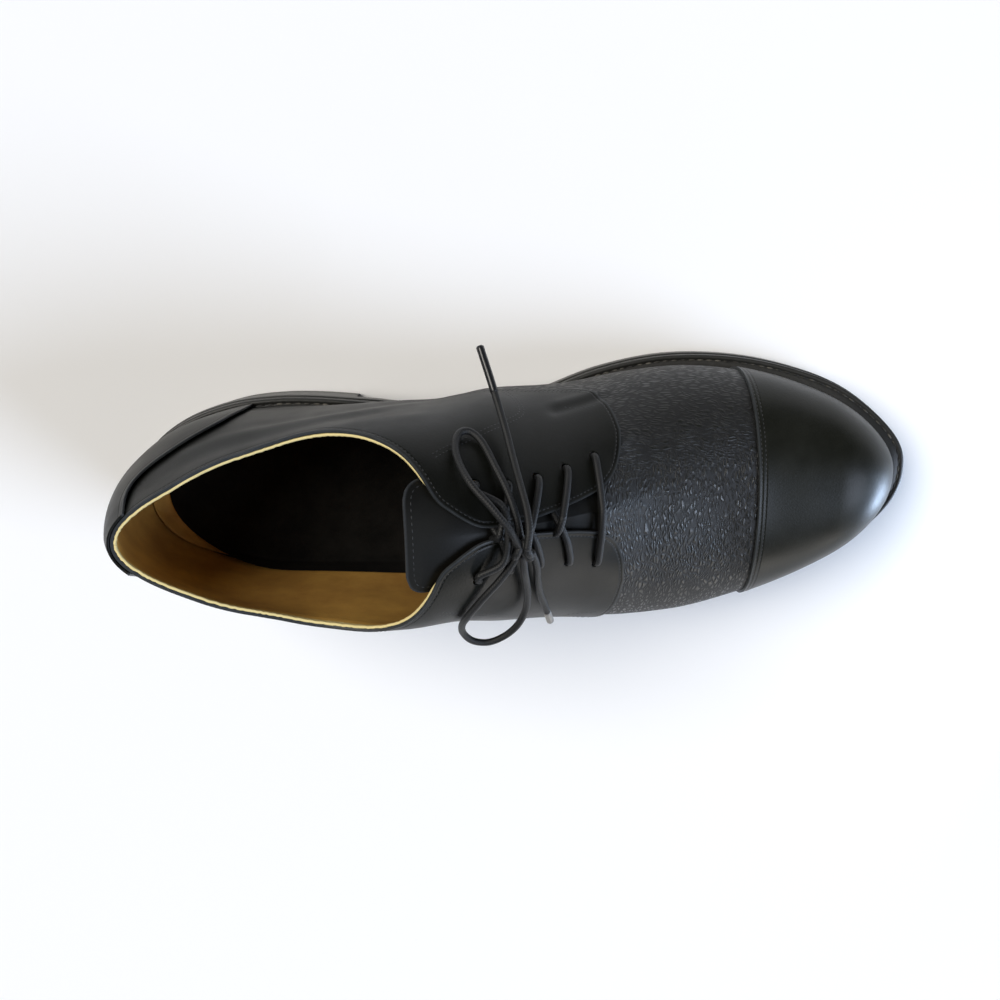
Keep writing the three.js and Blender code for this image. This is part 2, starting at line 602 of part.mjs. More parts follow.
// A strand from over an eyelet to a place on the ridge that lies back from it, and a little beyond
const STRAND_SHARES = [1, 0.75, 0.5, 0.25, 0.05]; // its points, as shares of the way from ridge to eyelet
const STRAND_BEND = 1.5; // it runs straight across at first and turns back later
function strand(side, x, back, beyond) {
  const far = facingHalf(x) + EYELET_INSET;
  const points = STRAND_SHARES.map((share) => {
    return quarterPoint(side, x - back * (1 - share) ** STRAND_BEND, far * share, onQuarter).place;
  });
  const across = points.at(-1).clone().sub(points.at(-2)).setLength(beyond);
  points.push(points.at(-1).clone().add(across));
  return points;
}
const LACE_PITCH = ((STATION_EYELET_FRONT - STATION_EYELET_BACK) * SHOE_LENGTH) / (EYELET_PAIRS - 1);
const eyeletStation = (pair) => STATION_EYELET_FRONT * SHOE_LENGTH - pair * LACE_PITCH;
const BAR_BOW = 1; // how far the bar's middle lies in front of its eyelets
function laceBar(pair) {
  const medial = strand("medial", eyeletStation(pair), -BAR_BOW, 0).slice(0, -1);
  const lateral = strand("lateral", eyeletStation(pair), -BAR_BOW, 0).slice(0, -1);
  return tube([...medial, ...lateral.reverse()]);
}
const CROSS_BACK = 0.35; // how far behind its eyelets a crossing lies, as a share of their pitch
const CROSS_TAIL = 2.5; // what shows of each strand past the crossing
function laceCross(pair) {
  const back = CROSS_BACK * LACE_PITCH;
  const strands = ["medial", "lateral"].map((side) => strand(side, eyeletStation(pair), back, CROSS_TAIL));
  return tube(strands[0]).add(tube(strands[1]));
}

// Bow. The knot lies over the third and fourth pair, and the last strands run forward to it from the top
// eyelets.
const KNOT = { place: new THREE.Vector3(144.3, -3.8, 114.8), across: 9, high: 8 };
const [KNOT_SIDES, KNOT_RINGS] = [12, 8];
function makeKnot(clearance) {
  const geometry = new THREE.SphereGeometry(1, KNOT_SIDES, KNOT_RINGS);
  const half = KNOT.across / 2 + clearance;
  geometry.scale(half, half, KNOT.high / 2 + clearance);
  geometry.translate(...KNOT.place.toArray());
  return solidOf(geometry);
}
const knotRoom = makeKnot(GAP);
const overCrossing = onQuarter + LACE_DIAMETER + 2 * GAP; // centre of a lace that lies on a crossing
// Way of the top strands to the knot, as shares of the pitch, the eyelet's distance and the pitch
const APPROACH = { forward: 0.6, out: 0.45, middle: 0.76 };
function laceTop(pair) {
  const x = eyeletStation(pair);
  const far = facingHalf(x) + EYELET_INSET;
  const rise = (side) => [
    ...strand(side, x, -BAR_BOW, 0).slice(0, 2),
    quarterPoint(side, x + APPROACH.forward * LACE_PITCH, APPROACH.out * far, overCrossing).place,
  ];
  const middle = quarterPoint("medial", x + APPROACH.middle * LACE_PITCH, WALK_STEP, overCrossing).place;
  return tube([...rise("medial"), middle, ...rise("lateral").reverse()]).subtract(knotRoom);
}

// Routes of the bow's loops and ends, from the knot outwards
const LOOP_MEDIAL = [
  [143, -2, 117.6],
  [140, 4.2, 121],
  [134.6, 11.4, 120],
  [128.2, 18.6, 116],
  [124.6, 24.6, 108.8],
  [123.8, 29, 103.2],
  [125.6, 32.2, 98.4],
  [129.2, 32, 97.2],
  [132.8, 28.6, 99.4],
  [136.6, 21.6, 105.2],
  [140.2, 14.2, 110.6],
  [142.6, 6.4, 114.2],
  [143.8, 0, 115.6],
];
const LOOP_LATERAL = [
  [144.4, -6, 115],
  [145, -12.5, 110.6],
  [146, -19, 104],
  [146.6, -25.5, 98],
  [146.2, -32, 92.8],
  [143.6, -38.4, 89.2],
  [139.2, -43.2, 86.6],
  [133.4, -45.8, 85.6],
  [127.8, -44.6, 87],
  [124.4, -40.4, 90.4],
  [124, -35.2, 96.6],
  [126.4, -29.4, 103.4],
  [131.4, -22, 108.4],
  [136.8, -15.4, 110.9],
  [141, -9.4, 112.8],
  [143.4, -5, 114.5],
];
const END_MEDIAL = [
  [145.6, -3, 118.6],
  [146.4, 3, 118.2],
  [146, 9, 114.4],
  [144.4, 16, 108.7],
  [142.6, 23.6, 101.8],
  [141, 31, 96.2],
  [139, 38.8, 91.6],
  [136.6, 47.6, 87.8],
  [133.4, 58.6, 84.6],
];
const END_LATERAL = [
  [147.4, -5.6, 112.6],
  [149.2, -11.6, 107.8],
  [149.9, -18.6, 101.4],
  [151, -25, 95],
  [152.8, -31, 89],
  [154.4, -36, 84.8],
  [155.6, -40, 82],
];
function cord(route) {
  return tube(route.map((place) => new THREE.Vector3(...place))).subtract(knotRoom);
}

// Materials
const calf = new THREE.MeshStandardMaterial({ color: 0x17181a, roughness: 0.35, metalness: 0 });
const grained = new THREE.MeshStandardMaterial({ color: 0x141516, roughness: 0.5, metalness: 0 });
const edge = new THREE.MeshStandardMaterial({ color: 0x1b1b1a, roughness: 0.45, metalness: 0 });
const lining = new THREE.MeshStandardMaterial({ color: 0x2a2724, roughness: 0.9, metalness: 0 });
const waxedCotton = new THREE.MeshStandardMaterial({ color: 0x1a1b1c, roughness: 0.55, metalness: 0 });

// The whole shoe, moved so that the origin lies on the floor under the middle of its outline
const shoe = new THREE.Group();
const outline = soleOutline(0);
const widths = outline.map((corner) => corner.y);
shoe.position.set(-SHOE_LENGTH / 2, -(Math.max(...widths) + Math.min(...widths)) / 2, 0);
function addPiece(name, solid, material) {
  const mesh = new THREE.Mesh(geometryOf(solid), material);
  mesh.name = name;
  shoe.add(mesh);
}
addPiece("outsole", outsole, edge);
addPiece("heel", heel, edge);
addPiece("welt", welt, edge);
addPiece("insole", insole, lining);
addPiece("upper", upper, grained);
addPiece("toe_cap", toeCap, calf);
addPiece("heel_counter", heelCounter, calf);
addPiece("tongue", tongue, calf);
addPiece("lace_bar_1", laceBar(0), waxedCotton);
for (let pair = 1; pair < EYELET_PAIRS - 1; pair++) {
  addPiece(`lace_cross_${pair + 1}`, laceCross(pair), waxedCotton);
}
addPiece(`lace_top_${EYELET_PAIRS}`, laceTop(EYELET_PAIRS - 1), waxedCotton);
addPiece("lace_knot", makeKnot(0), waxedCotton);
addPiece("lace_loop_medial", cord(LOOP_MEDIAL), waxedCotton);
addPiece("lace_loop_lateral", cord(LOOP_LATERAL), waxedCotton);
addPiece("lace_end_medial", cord(END_MEDIAL), waxedCotton);
addPiece("lace_end_lateral", cord(END_LATERAL), waxedCotton);

export default shoe;
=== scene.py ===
# Cap-toe derby, right foot, in black calf with a grained vamp: its looks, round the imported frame.
# Sizes are in millimetres in the maker's frame: X from the back of the sole to the toe, Y inwards.
import math

import bmesh
import bpy
import numpy as np
from mathutils import Matrix, Vector


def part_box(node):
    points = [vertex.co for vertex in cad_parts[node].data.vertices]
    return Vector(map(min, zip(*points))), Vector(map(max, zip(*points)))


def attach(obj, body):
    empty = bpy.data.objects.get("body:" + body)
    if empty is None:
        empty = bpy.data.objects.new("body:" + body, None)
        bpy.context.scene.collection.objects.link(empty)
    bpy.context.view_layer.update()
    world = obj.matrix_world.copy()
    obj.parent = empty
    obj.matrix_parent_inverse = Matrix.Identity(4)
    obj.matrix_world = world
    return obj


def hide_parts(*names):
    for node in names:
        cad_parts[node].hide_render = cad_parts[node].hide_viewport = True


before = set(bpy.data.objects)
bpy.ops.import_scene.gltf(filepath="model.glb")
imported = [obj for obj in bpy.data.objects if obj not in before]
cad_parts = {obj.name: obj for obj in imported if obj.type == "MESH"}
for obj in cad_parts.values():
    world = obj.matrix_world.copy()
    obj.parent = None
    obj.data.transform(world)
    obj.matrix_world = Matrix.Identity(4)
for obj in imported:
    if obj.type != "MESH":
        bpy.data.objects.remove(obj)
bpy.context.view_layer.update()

# Camera: it looks down on the standing shoe, a little from its inner side, with the toe to the right
sole_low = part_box("outsole")[0]
SOLE_OUTER_BULGE = 57.85  # from the heel-to-toe line out to the sole's widest point
PLACE = np.array([sole_low.x * 1000, sole_low.y * 1000 + SOLE_OUTER_BULGE, 0.0])


def metres(points):
    """Points in the maker's frame, in the row's frame and in metres"""
    return (np.asarray(points, float) + PLACE) / 1000


EYE = (121.7, 101.8, 491.1)
LOOK_AT = (140.5, -4.5, 42.0)
ROLL = math.radians(-2.2)
LENS = 43.5
camera_data = bpy.data.cameras.new("camera")
camera_data.lens = LENS
camera_data.sensor_width = 36
camera = bpy.data.objects.new("camera", camera_data)
bpy.context.scene.collection.objects.link(camera)
eye = Vector(metres(EYE))
ahead = (Vector(metres(LOOK_AT)) - eye).normalized()
right = Vector((math.cos(ROLL), math.sin(ROLL), 0))
right = (right - right.dot(ahead) * ahead).normalized()
above = right.cross(ahead)
camera.matrix_world = Matrix.Translation(eye) @ Matrix((right, above, -ahead)).transposed().to_4x4()
bpy.context.scene.camera = camera

# Laces: one round waxed cotton cord of 2.5 mm, tied in a bow. It is braided over a core, so its surface
# shows a fine criss-cross, dulled by wax.
LACE_DIAMETER = 2.5


def linear(code):
    """sRGB hex colour as the linear one that a shader takes"""
    shares = [int(code[i : i + 2], 16) / 255 for i in (1, 3, 5)]
    return (*[s / 12.92 if s <= 0.04045 else ((s + 0.055) / 1.055) ** 2.4 for s in shares], 1.0)


def feed(made, **inputs):
    """Sets a node's inputs, each to a value, to a socket or to the first output of another node"""
    for name, value in inputs.items():
        socket = made.inputs[int(name[1:])] if name[1:].isdigit() else made.inputs[name.replace("_", " ")]
        if isinstance(value, bpy.types.Node):
            value = value.outputs[0]
        if isinstance(value, bpy.types.NodeSocket):
            made.id_data.links.new(value, socket)
        else:
            socket.default_value = value


def node(tree, kind, settings=None, tones=(), **inputs):
    """Adds a node with its settings and inputs. Tones are the places and colours of a ramp's two ends."""
    made = tree.nodes.new(kind)
    for name, value in (settings or {}).items():
        setattr(made, name, value)
    for k, (place, colour) in enumerate(tones):
        made.color_ramp.elements[k].position = place
        made.color_ramp.elements[k].color = linear(colour)
    feed(made, **inputs)
    return made


def finish_of(name, roughness, coat=0.0, coat_roughness=0.2, specular=0.5):
    """A material with its shader, and its tree to build on"""
    material = bpy.data.materials.new(name)
    material.use_nodes = True
    tree = material.node_tree
    shader = tree.nodes["Principled BSDF"]
    feed(shader, Roughness=roughness, Specular_IOR_Level=specular)
    feed(shader, Coat_Weight=coat, Coat_Roughness=coat_roughness)
    return material, tree, shader


def dress(piece, material, slot, *nodes):
    """Gives a piece its finish, lets it ride on the shoe and stand for its CAD nodes"""
    piece.data.materials.clear()
    piece.data.materials.append(material)
    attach(piece, "root")
    if nodes:
        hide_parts(*nodes)


def bent_grid(name, columns, rows, surface, layout=None, marks=None, closed=False, inside_out=False):
    """A grid whose points go to surface(a, b), with a along it and b across it from 0 to 1. Layout gives its
    flat pattern in millimetres and marks a value for each point."""
    mesh = bmesh.new()
    bmesh.ops.create_grid(mesh, x_segments=columns, y_segments=rows, size=0.5)
    mesh.verts.index_update()
    share = np.array([vert.co[:2] for vert in mesh.verts]) + 0.5
    a, b = share[:, 0], share[:, 1]
    places = metres(surface(a, b))
    flat = layout(a, b) if layout else share
    pattern = mesh.loops.layers.uv.new("Pattern")
    for face in mesh.faces:
        for loop in face.loops:
            loop[pattern].uv = flat[loop.vert.index]
    for word, values in (marks(a, b) if marks else {}).items():
        layer = mesh.verts.layers.float.new(word)
        for vert, value in zip(mesh.verts, values):
            vert[layer] = float(value)
    for vert, place in zip(mesh.verts, places):
        vert.co = place
    bmesh.ops.remove_doubles(mesh, verts=mesh.verts, dist=2e-5)
    bmesh.ops.dissolve_degenerate(mesh, edges=mesh.edges, dist=1e-6)
    if closed:
        bmesh.ops.recalc_face_normals(mesh, faces=mesh.faces)
    if inside_out:
        bmesh.ops.reverse_faces(mesh, faces=mesh.faces)
    return finished(name, mesh)


def finished(name, mesh):
    """A smooth-shaded object from a bmesh"""
    for face in mesh.faces:
        face.smooth = True
    data = bpy.data.meshes.new(name)
    mesh.to_mesh(data)
    mesh.free()
    piece = bpy.data.objects.new(name, data)
    bpy.context.scene.collection.objects.link(piece)
    return piece


def curve_through(points, spacing):
    """Smooth curve through a few points, at even spacing"""
    points = np.asarray(points, float)
    padded = np.vstack([2 * points[0] - points[1], points, 2 * points[-1] - points[-2]])
    t = np.linspace(0, 1, 24, endpoint=False)[:, None]
    dense = []
    for p0, p1, p2, p3 in zip(padded, padded[1:], padded[2:], padded[3:]):
        square, cube = 2 * p0 - 5 * p1 + 4 * p2 - p3, 3 * p1 - p0 - 3 * p2 + p3
        dense.append(0.5 * (2 * p1 + (p2 - p0) * t + square * t**2 + cube * t**3))
    dense = np.vstack([*dense, points[-1]])
    return respaced(dense, max(2, round(length_of(dense) / spacing)))


def walk_along(line):
    """Way from a line's start to each of its points"""
    return np.r_[0, np.cumsum(np.linalg.norm(np.diff(line, axis=0), axis=1))]


def length_of(line):
    return float(walk_along(line)[-1])


def points_at(ways, walked, line):
    """Points at given ways along a line"""
    return np.stack([np.interp(ways, walked, column) for column in line.T], axis=1)


def respaced(line, count):
    """The same line with count equal steps"""
    walked = walk_along(line)
    return points_at(np.linspace(0, walked[-1], count + 1), walked, line)


def tube(name, line, radius, sides=12):
    """A round cord along a line, with rounded ends. Its pattern runs in millimetres along and round it."""
    line = np.asarray(line, float)
    ahead = np.gradient(line, axis=0)
    ahead /= np.linalg.norm(ahead, axis=1)[:, None]
    side = [np.cross(ahead[0], (0.3, 0.2, 1.0))]
    for step in ahead[1:]:
        side.append(side[-1] - side[-1].dot(step) * step)
    side = np.array([s / np.linalg.norm(s) for s in side])
    over = np.cross(ahead, side)
    walked = walk_along(line)
    # the first and last rows close the ends, the next ones round them
    rows = np.r_[0, 0, 0, np.arange(1, len(line) - 1), len(line) - 1, len(line) - 1, len(line) - 1]
    swell = np.r_[0, 0.6, 1, np.ones(len(line) - 2), 1, 0.6, 0]
    slide = np.r_[-0.45, -0.36, 0, np.zeros(len(line) - 2), 0, 0.36, 0.45] * radius

    def surface(a, b):
        i = np.rint(a * (len(rows) - 1)).astype(int)
        turn = 2 * np.pi * b
        round_it = np.cos(turn)[:, None] * side[rows[i]] + np.sin(turn)[:, None] * over[rows[i]]
        return line[rows[i]] + slide[i][:, None] * ahead[rows[i]] + (radius * swell[i])[:, None] * round_it

    def layout(a, b):
        i = np.rint(a * (len(rows) - 1)).astype(int)
        return np.stack([walked[rows[i]], 2 * np.pi * radius * b], axis=1)

    return bent_grid(name, len(rows) - 1, sides, surface, layout, closed=True)


# Waxed cotton: black braid, its hollows darker as painted shade and its ridges paler as a painted dull sheen
BRAID_PITCH, BRAID_SLANT = 1.5, 38
WAVE_LENGTH = 0.31  # one band of a wave texture whose scale is 1
waxed_cotton, tree, shader = finish_of("waxed cotton braid", 0.5, specular=0.4)
flat = node(tree, "ShaderNodeTexCoord").outputs["UV"]
plaits = []
for slant in (BRAID_SLANT, -BRAID_SLANT):
    turned = node(tree, "ShaderNodeMapping", Vector=flat, Rotation=(0, 0, math.radians(slant)))
    plait = node(tree, "ShaderNodeTexWave", {"bands_direction": "X"}, Vector=turned, Distortion=0.4)
    feed(plait, Scale=WAVE_LENGTH / BRAID_PITCH * 2)
    plaits.append(plait.outputs[1])
braid = node(tree, "ShaderNodeMath", {"operation": "MAXIMUM"}, _0=plaits[0], _1=plaits[1])
# painted shade in the braid's hollows and a painted sheen on its ridges
tone = node(tree, "ShaderNodeValToRGB", tones=((0.0, "#070808"), (1.0, "#18191a")), _0=braid)
bump = node(tree, "ShaderNodeBump", Height=braid, Strength=0.5, Distance=0.00018)
feed(shader, Base_Color=tone, Normal=bump)

# Routes of the bow, from the knot outwards
LOOP_MEDIAL = [
    (143, -2, 117.6), (140, 4.2, 121), (134.6, 11.4, 120), (128.2, 18.6, 116), (124.6, 24.6, 108.8),
    (123.8, 29, 103.2), (125.6, 32.2, 98.4), (129.2, 32, 97.2), (132.8, 28.6, 99.4), (136.6, 21.6, 105.2),
    (140.2, 14.2, 110.6), (142.6, 6.4, 114.2), (143.8, 0, 115.6),
]
LOOP_LATERAL = [
    (144.4, -6, 115), (145, -12.5, 110.6), (146, -19, 104), (146.6, -25.5, 98), (146.2, -32, 92.8),
    (143.6, -38.4, 89.2), (139.2, -43.2, 86.6), (133.4, -45.8, 85.6), (127.8, -44.6, 87),
    (124.4, -40.4, 90.4), (124, -35.2, 96.6), (126.4, -29.4, 103.4), (131.4, -22, 108.4),
    (136.8, -15.4, 110.9), (141, -9.4, 112.8), (143.4, -5, 114.5),
]
END_MEDIAL = [
    (145.6, -3, 118.6), (146.4, 3, 118.2), (146, 9, 114.4), (144.4, 16, 108.7), (142.6, 23.6, 101.8),
    (141, 31, 96.2), (139, 38.8, 91.6), (136.6, 47.6, 87.8), (133.4, 58.6, 84.6),
]
END_LATERAL = [
    (147.4, -5.6, 112.6), (149.2, -11.6, 107.8), (149.9, -18.6, 101.4), (151, -25, 95), (152.8, -31, 89),
    (154.4, -36, 84.8), (155.6, -40, 82),
]
LACE_SPACING = 0.8
bow = {
    "lace_bow_medial": (LOOP_MEDIAL, "lace_loop_medial"),
    "lace_bow_lateral": (LOOP_LATERAL, "lace_loop_lateral"),
    "lace_tail_medial": (END_MEDIAL, "lace_end_medial"),
    "lace_tail_lateral": (END_LATERAL, "lace_end_lateral"),
}
bow_lines, bow_pieces = {}, {}
for name, (route, solid) in bow.items():
    bow_lines[name] = curve_through(route, LACE_SPACING)
    bow_pieces[name] = tube(name, bow_lines[name], LACE_DIAMETER / 2)
    dress(bow_pieces[name], waxed_cotton, "lace", solid)

# Lace tips: acetate film of 0.12 mm, rolled tight and glued over the last stretch of the cord. The long end's
# is black; the short end's has worn clear. Both are smooth, with a small sharp highlight and light scuffs.
AGLET_FILM = 0.12
AGLET_LONG, AGLET_SHORT = 17.0, 6.0
aglets = {}
for name, tail, length, word, dark, pale, roughness in (
    ("aglet_long", "lace_tail_medial", AGLET_LONG, "black", "#101112", "#1d1e20", 0.28),
    ("aglet_short", "lace_tail_lateral", AGLET_SHORT, "clear", "#6f6c68", "#9a9791", 0.3),
):
    acetate, tree, shader = finish_of(f"rolled acetate, {word}", roughness)
    place = node(tree, "ShaderNodeTexCoord").outputs["Object"]
    scuff = node(tree, "ShaderNodeTexNoise", Vector=place, Scale=900.0, Detail=3.0)
    tone = node(tree, "ShaderNodeValToRGB", tones=((0.0, dark), (1.0, pale)), _0=scuff)
    feed(shader, Base_Color=tone)
    tip = bow_lines[tail][-round(length / LACE_SPACING) :]
    aglets[tail] = tube(name, tip, LACE_DIAMETER / 2 + AGLET_FILM)
    dress(aglets[tail], acetate, "aglet")

# Knot: the same cord passes twice round the middle of the bow and tucks under itself, so two leaning wraps
# show, over a short stretch of cord that the loops and ends come out of
KNOT_CENTRE = np.array([144.3, -3.8, 114.8])
KNOT_ACROSS, KNOT_HIGH, KNOT_CORE = 6.4, 5.4, 3.0


def knot_turn(lean, shift, start, turns):
    """One wrap round the bow's waist, leaning over to one side"""
    angle = np.linspace(start, start + 2 * math.pi * turns, 40)
    wide, high = np.cos(angle) * KNOT_ACROSS / 2, np.sin(angle) * KNOT_HIGH / 2
    ring = np.stack([shift + 0.25 * np.cos(angle), wide, high], axis=1)
    tilt = np.array([[math.cos(lean), -math.sin(lean), 0], [math.sin(lean), math.cos(lean), 0], [0, 0, 1]])
    return ring @ tilt.T + KNOT_CENTRE


knot_core_line = np.array([[-3.6, 3.4, 0.6], [0, 0, 1.0], [2.6, -3.4, 0.2]])
knot_parts = [
    tube("knot_wrap_front", respaced(knot_turn(0.5, 1.3, -0.5, 0.8), 24), LACE_DIAMETER / 2),
    tube("knot_wrap_back", respaced(knot_turn(-0.35, -1.3, -0.4, 0.8), 24), LACE_DIAMETER / 2),
    tube("knot_core", respaced(KNOT_CENTRE + knot_core_line, 8), KNOT_CORE / 2),
]
for part in knot_parts:
    dress(part, waxed_cotton, "lace")
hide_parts("lace_knot")

for name, piece in bow_pieces.items():
    line = bow_lines[name]
    metres(line[0]).tolist()
    metres(line).tolist()

# The last that everything is shaped on, and the sole under it. Widths go by the station along the shoe.
SHOE_LENGTH = 304.0
BALL_WIDTH, WAIST_WIDTH, HEEL_WIDTH = 102.0, 67.0, 70.0
HEEL_LENGTH, HEEL_HEIGHT, HEEL_TAPER = 81.0, 20.0, 1.2
BREAST_HOLLOW, BREAST_SWEEP = 6.0, 9.0
TOE_SPRING = 15.5
OUTSOLE_THICKNESS, WELT_THICKNESS, INSOLE_THICKNESS = 5.4, 3.8, 4.4
WELT_MARGIN, EDGE_STEP, GAP = 5.5, 0.5, 0.3


def table(columns, *rows):
    """A short table as its named columns"""
    return dict(zip(columns.split(), np.array(rows, float).T))


SOLE = table(
    "at of medial lateral",
    (0.0, HEEL_WIDTH, 0.49, 0.49),
    (0.1, HEEL_WIDTH, 0.49, 0.485),
    (0.2, HEEL_WIDTH, 0.515, 0.497),
    (0.3, WAIST_WIDTH, 0.5, 0.537),
    (0.4, WAIST_WIDTH, 0.43, 0.6),
    (0.5, BALL_WIDTH, 0.3, 0.475),
    (0.6, BALL_WIDTH, 0.396, 0.555),
    (0.68, BALL_WIDTH, 0.44, 0.566),
    (0.76, BALL_WIDTH, 0.441, 0.53),
    (0.86, BALL_WIDTH, 0.419, 0.482),
    (0.93, BALL_WIDTH, 0.392, 0.45),
    (1.0, BALL_WIDTH, 0.31, 0.39),
)


def read(rows, column, x):
    """Smooth curve through one column of a table, at a place along the shoe"""
    stations, values = rows["at"], rows[column] * rows.get("of", 1.0)
    last = len(stations) - 1
    before, after = np.maximum(np.arange(last + 1) - 1, 0), np.minimum(np.arange(last + 1) + 1, last)
    slope = (values[after] - values[before]) / (stations[after] - stations[before])
    at = np.asarray(x, float) / SHOE_LENGTH
    i = np.clip(np.searchsorted(stations, at) - 1, 0, last - 1)
    span = stations[i + 1] - stations[i]
    t = np.clip((at - stations[i]) / span, 0, 1)
    start = values[i] * (1 + 2 * t) + slope[i] * span * t
    end = values[i + 1] * (3 - 2 * t) - slope[i + 1] * span * (1 - t)
    return start * (1 - t) ** 2 + end * t**2


def read_side(rows, medial, x):
    """The inner or the outer side's column of a table"""
    return np.where(medial, read(rows, "medial", x), read(rows, "lateral", x))


def smooth(t):
    t = np.clip(t, 0, 1)
    return t * t * (3 - 2 * t)


def end_round(x, start, end):
    """1 along the body of an outline, falling to 0 at its two ends"""
    back = np.clip(1 - (x - start) / (0.155 * SHOE_LENGTH), 0, 1)
    front = np.clip(1 - (end - x) / (0.28 * SHOE_LENGTH), 0, 1)
    return (1 - back**1.95) ** (1 / 1.95) * (1 - front**2.3) ** (1 / 2.3)


def sole_underside(x):
    back, front = 0.58 * SHOE_LENGTH, 0.656 * SHOE_LENGTH
    arch = HEEL_HEIGHT * smooth((back - x) / (back - HEEL_LENGTH))
    toe = TOE_SPRING * (np.maximum(x - front, 0) / (SHOE_LENGTH - front)) ** 2
    return np.where(x < back, arch, toe)


def sole_top(x):
    return sole_underside(x) + OUTSOLE_THICKNESS


def welt_bottom(x):
    return sole_top(x) + GAP


def welt_top(x):
    return welt_bottom(x) + WELT_THICKNESS


def upper_foot(x):
    return welt_top(x) + GAP


def sole_outline(turn, inset):
    """The sole's outline, with turn from 0 at the toe over the inner side to the heel at 0.5 and back"""
    start, end = inset, SHOE_LENGTH - inset
    x = end - (end - start) * (1 - np.cos(2 * np.pi * turn)) / 2
    medial = turn < 0.5
    half = read_side(SOLE, medial, x) - inset
    return x, np.where(medial, 1, -1) * half * end_round(x, start, end)


def even_turns(count):
    """Turns that go round the sole's outline in equal steps"""
    fine = np.linspace(0, 1, 4001)
    x, y = sole_outline(fine, 0.0)
    walked = np.r_[0, np.cumsum(np.hypot(np.diff(x), np.diff(y)))]
    return np.interp(np.linspace(0, walked[-1], count + 1), walked, fine)


OUTLINE_COUNT = 420
TURNS = even_turns(OUTLINE_COUNT)
SOLE_GIRTH = length_of(np.stack(sole_outline(np.linspace(0, 1, 4001), 0.0), axis=1))


def edge_strip(profile, bottom, top):
    """Surface that carries an edge profile round the sole. A profile row is its inset, its height above the
    strip's base, and whether that base is the underside (0) or the top (1)."""
    insets, lifts, shares = (np.array(column, float) for column in zip(*profile))

    def surface(a, b):
        turn = np.interp(a * OUTLINE_COUNT, np.arange(OUTLINE_COUNT + 1), TURNS)
        j = np.rint(b * (len(profile) - 1)).astype(int)
        x, y = sole_outline(turn, 0.0)
        # inset along the outline's own normal
        ahead_x, ahead_y = sole_outline(np.minimum(turn + 2e-4, 1), 0.0)
        back_x, back_y = sole_outline(np.maximum(turn - 2e-4, 0), 0.0)
        run = np.stack([ahead_x - back_x, ahead_y - back_y], axis=1)
        run /= np.linalg.norm(run, axis=1)[:, None]
        x_in, y_in = x - run[:, 1] * insets[j], y + run[:, 0] * insets[j]
        return np.stack([x_in, y_in, (1 - shares[j]) * bottom(x) + shares[j] * top(x) + lifts[j]], axis=1)

    return surface


# Outsole: oak-bark leather 5.4 mm thick, cut to the last and trimmed square, its edge dyed black, waxed and
# set with a hot iron, so that the edge is smooth and a little glossy. The tread is left plain.
SOLE_EDGE_ROUND, EDGE_PATTERN_WIDTH = 0.7, 12.0


def edge_pattern(a, b):
    return np.stack([a * SOLE_GIRTH, b * EDGE_PATTERN_WIDTH], axis=1)


quarter_turn = np.linspace(0, math.pi / 2, 4)
outsole_profile = [(14.0, 0.0, 0.0), (4.0, 0.0, 0.0)]
outsole_profile += [
    (SOLE_EDGE_ROUND * (1 - math.sin(t)), SOLE_EDGE_ROUND * (1 - math.cos(t)), 0.0) for t in quarter_turn
]
outsole_profile += [
    (SOLE_EDGE_ROUND * (1 - math.cos(t)), SOLE_EDGE_ROUND * (math.sin(t) - 1), 1.0) for t in quarter_turn
]
outsole_profile += [(9.0, 0.0, 1.0)]


TREAD_INSET = 13.0


def tread_surface(a, b):
    """The flat of the sole, in from its edge strip"""
    start, end = TREAD_INSET, SHOE_LENGTH - TREAD_INSET
    x = start + (end - start) * (1 - np.cos(np.pi * a)) / 2
    medial = (read(SOLE, "medial", x) - TREAD_INSET) * end_round(x, start, end)
    lateral = (read(SOLE, "lateral", x) - TREAD_INSET) * end_round(x, start, end)
    return np.stack([x, (medial + lateral) * b - lateral, sole_underside(x)], axis=1)


edge_surface = edge_strip(outsole_profile, sole_underside, sole_top)
outsole_edge = bent_grid("outsole_edge", OUTLINE_COUNT, len(outsole_profile) - 1, edge_surface, edge_pattern)
sole_tread = bent_grid("outsole_tread", 90, 24, tread_surface, inside_out=True)

# Edge ink: black dye under wax, ironed: a soft sheen with faint lines that run along the edge
edge_ink, tree, shader = finish_of("inked and ironed sole leather", 0.42, coat=0.25, coat_roughness=0.35)
place = node(tree, "ShaderNodeTexCoord").outputs["Object"]
layers = node(tree, "ShaderNodeMapping", Vector=place, Scale=(60, 60, 1500))
lines = node(tree, "ShaderNodeTexNoise", Vector=layers, Scale=1.0, Detail=4.0)
mottle = node(tree, "ShaderNodeTexNoise", Vector=place, Scale=220.0, Detail=5.0, Roughness=0.65)
tone = node(tree, "ShaderNodeValToRGB", tones=((0.0, "#0e0e0a"), (1.0, "#1b1b16")), _0=mottle)
rough = node(tree, "ShaderNodeMapRange", _0=lines, _3=0.34, _4=0.55)
height = node(tree, "ShaderNodeMath", {"operation": "MULTIPLY_ADD"}, _0=lines, _1=0.6, _2=mottle)
bump = node(tree, "ShaderNodeBump", Height=height, Strength=0.35, Distance=0.00025)
feed(shader, Base_Color=tone, Roughness=rough, Normal=bump)
dress(outsole_edge, edge_ink, "sole_leather", "outsole")
dress(sole_tread, edge_ink, "sole_leather")

# Heel: lifts of leather stacked and pegged, 20 mm high, the breast cut in a hollow curve that sweeps forward
# on the inner side. Its sides are inked like the sole; in the breast some bare red-brown leather shows.
HEEL_STEPS = 64
heel_back = np.array([sole_outline(np.array([t]), EDGE_STEP) for t in np.linspace(0, 1, 1201)])[:, :, 0]


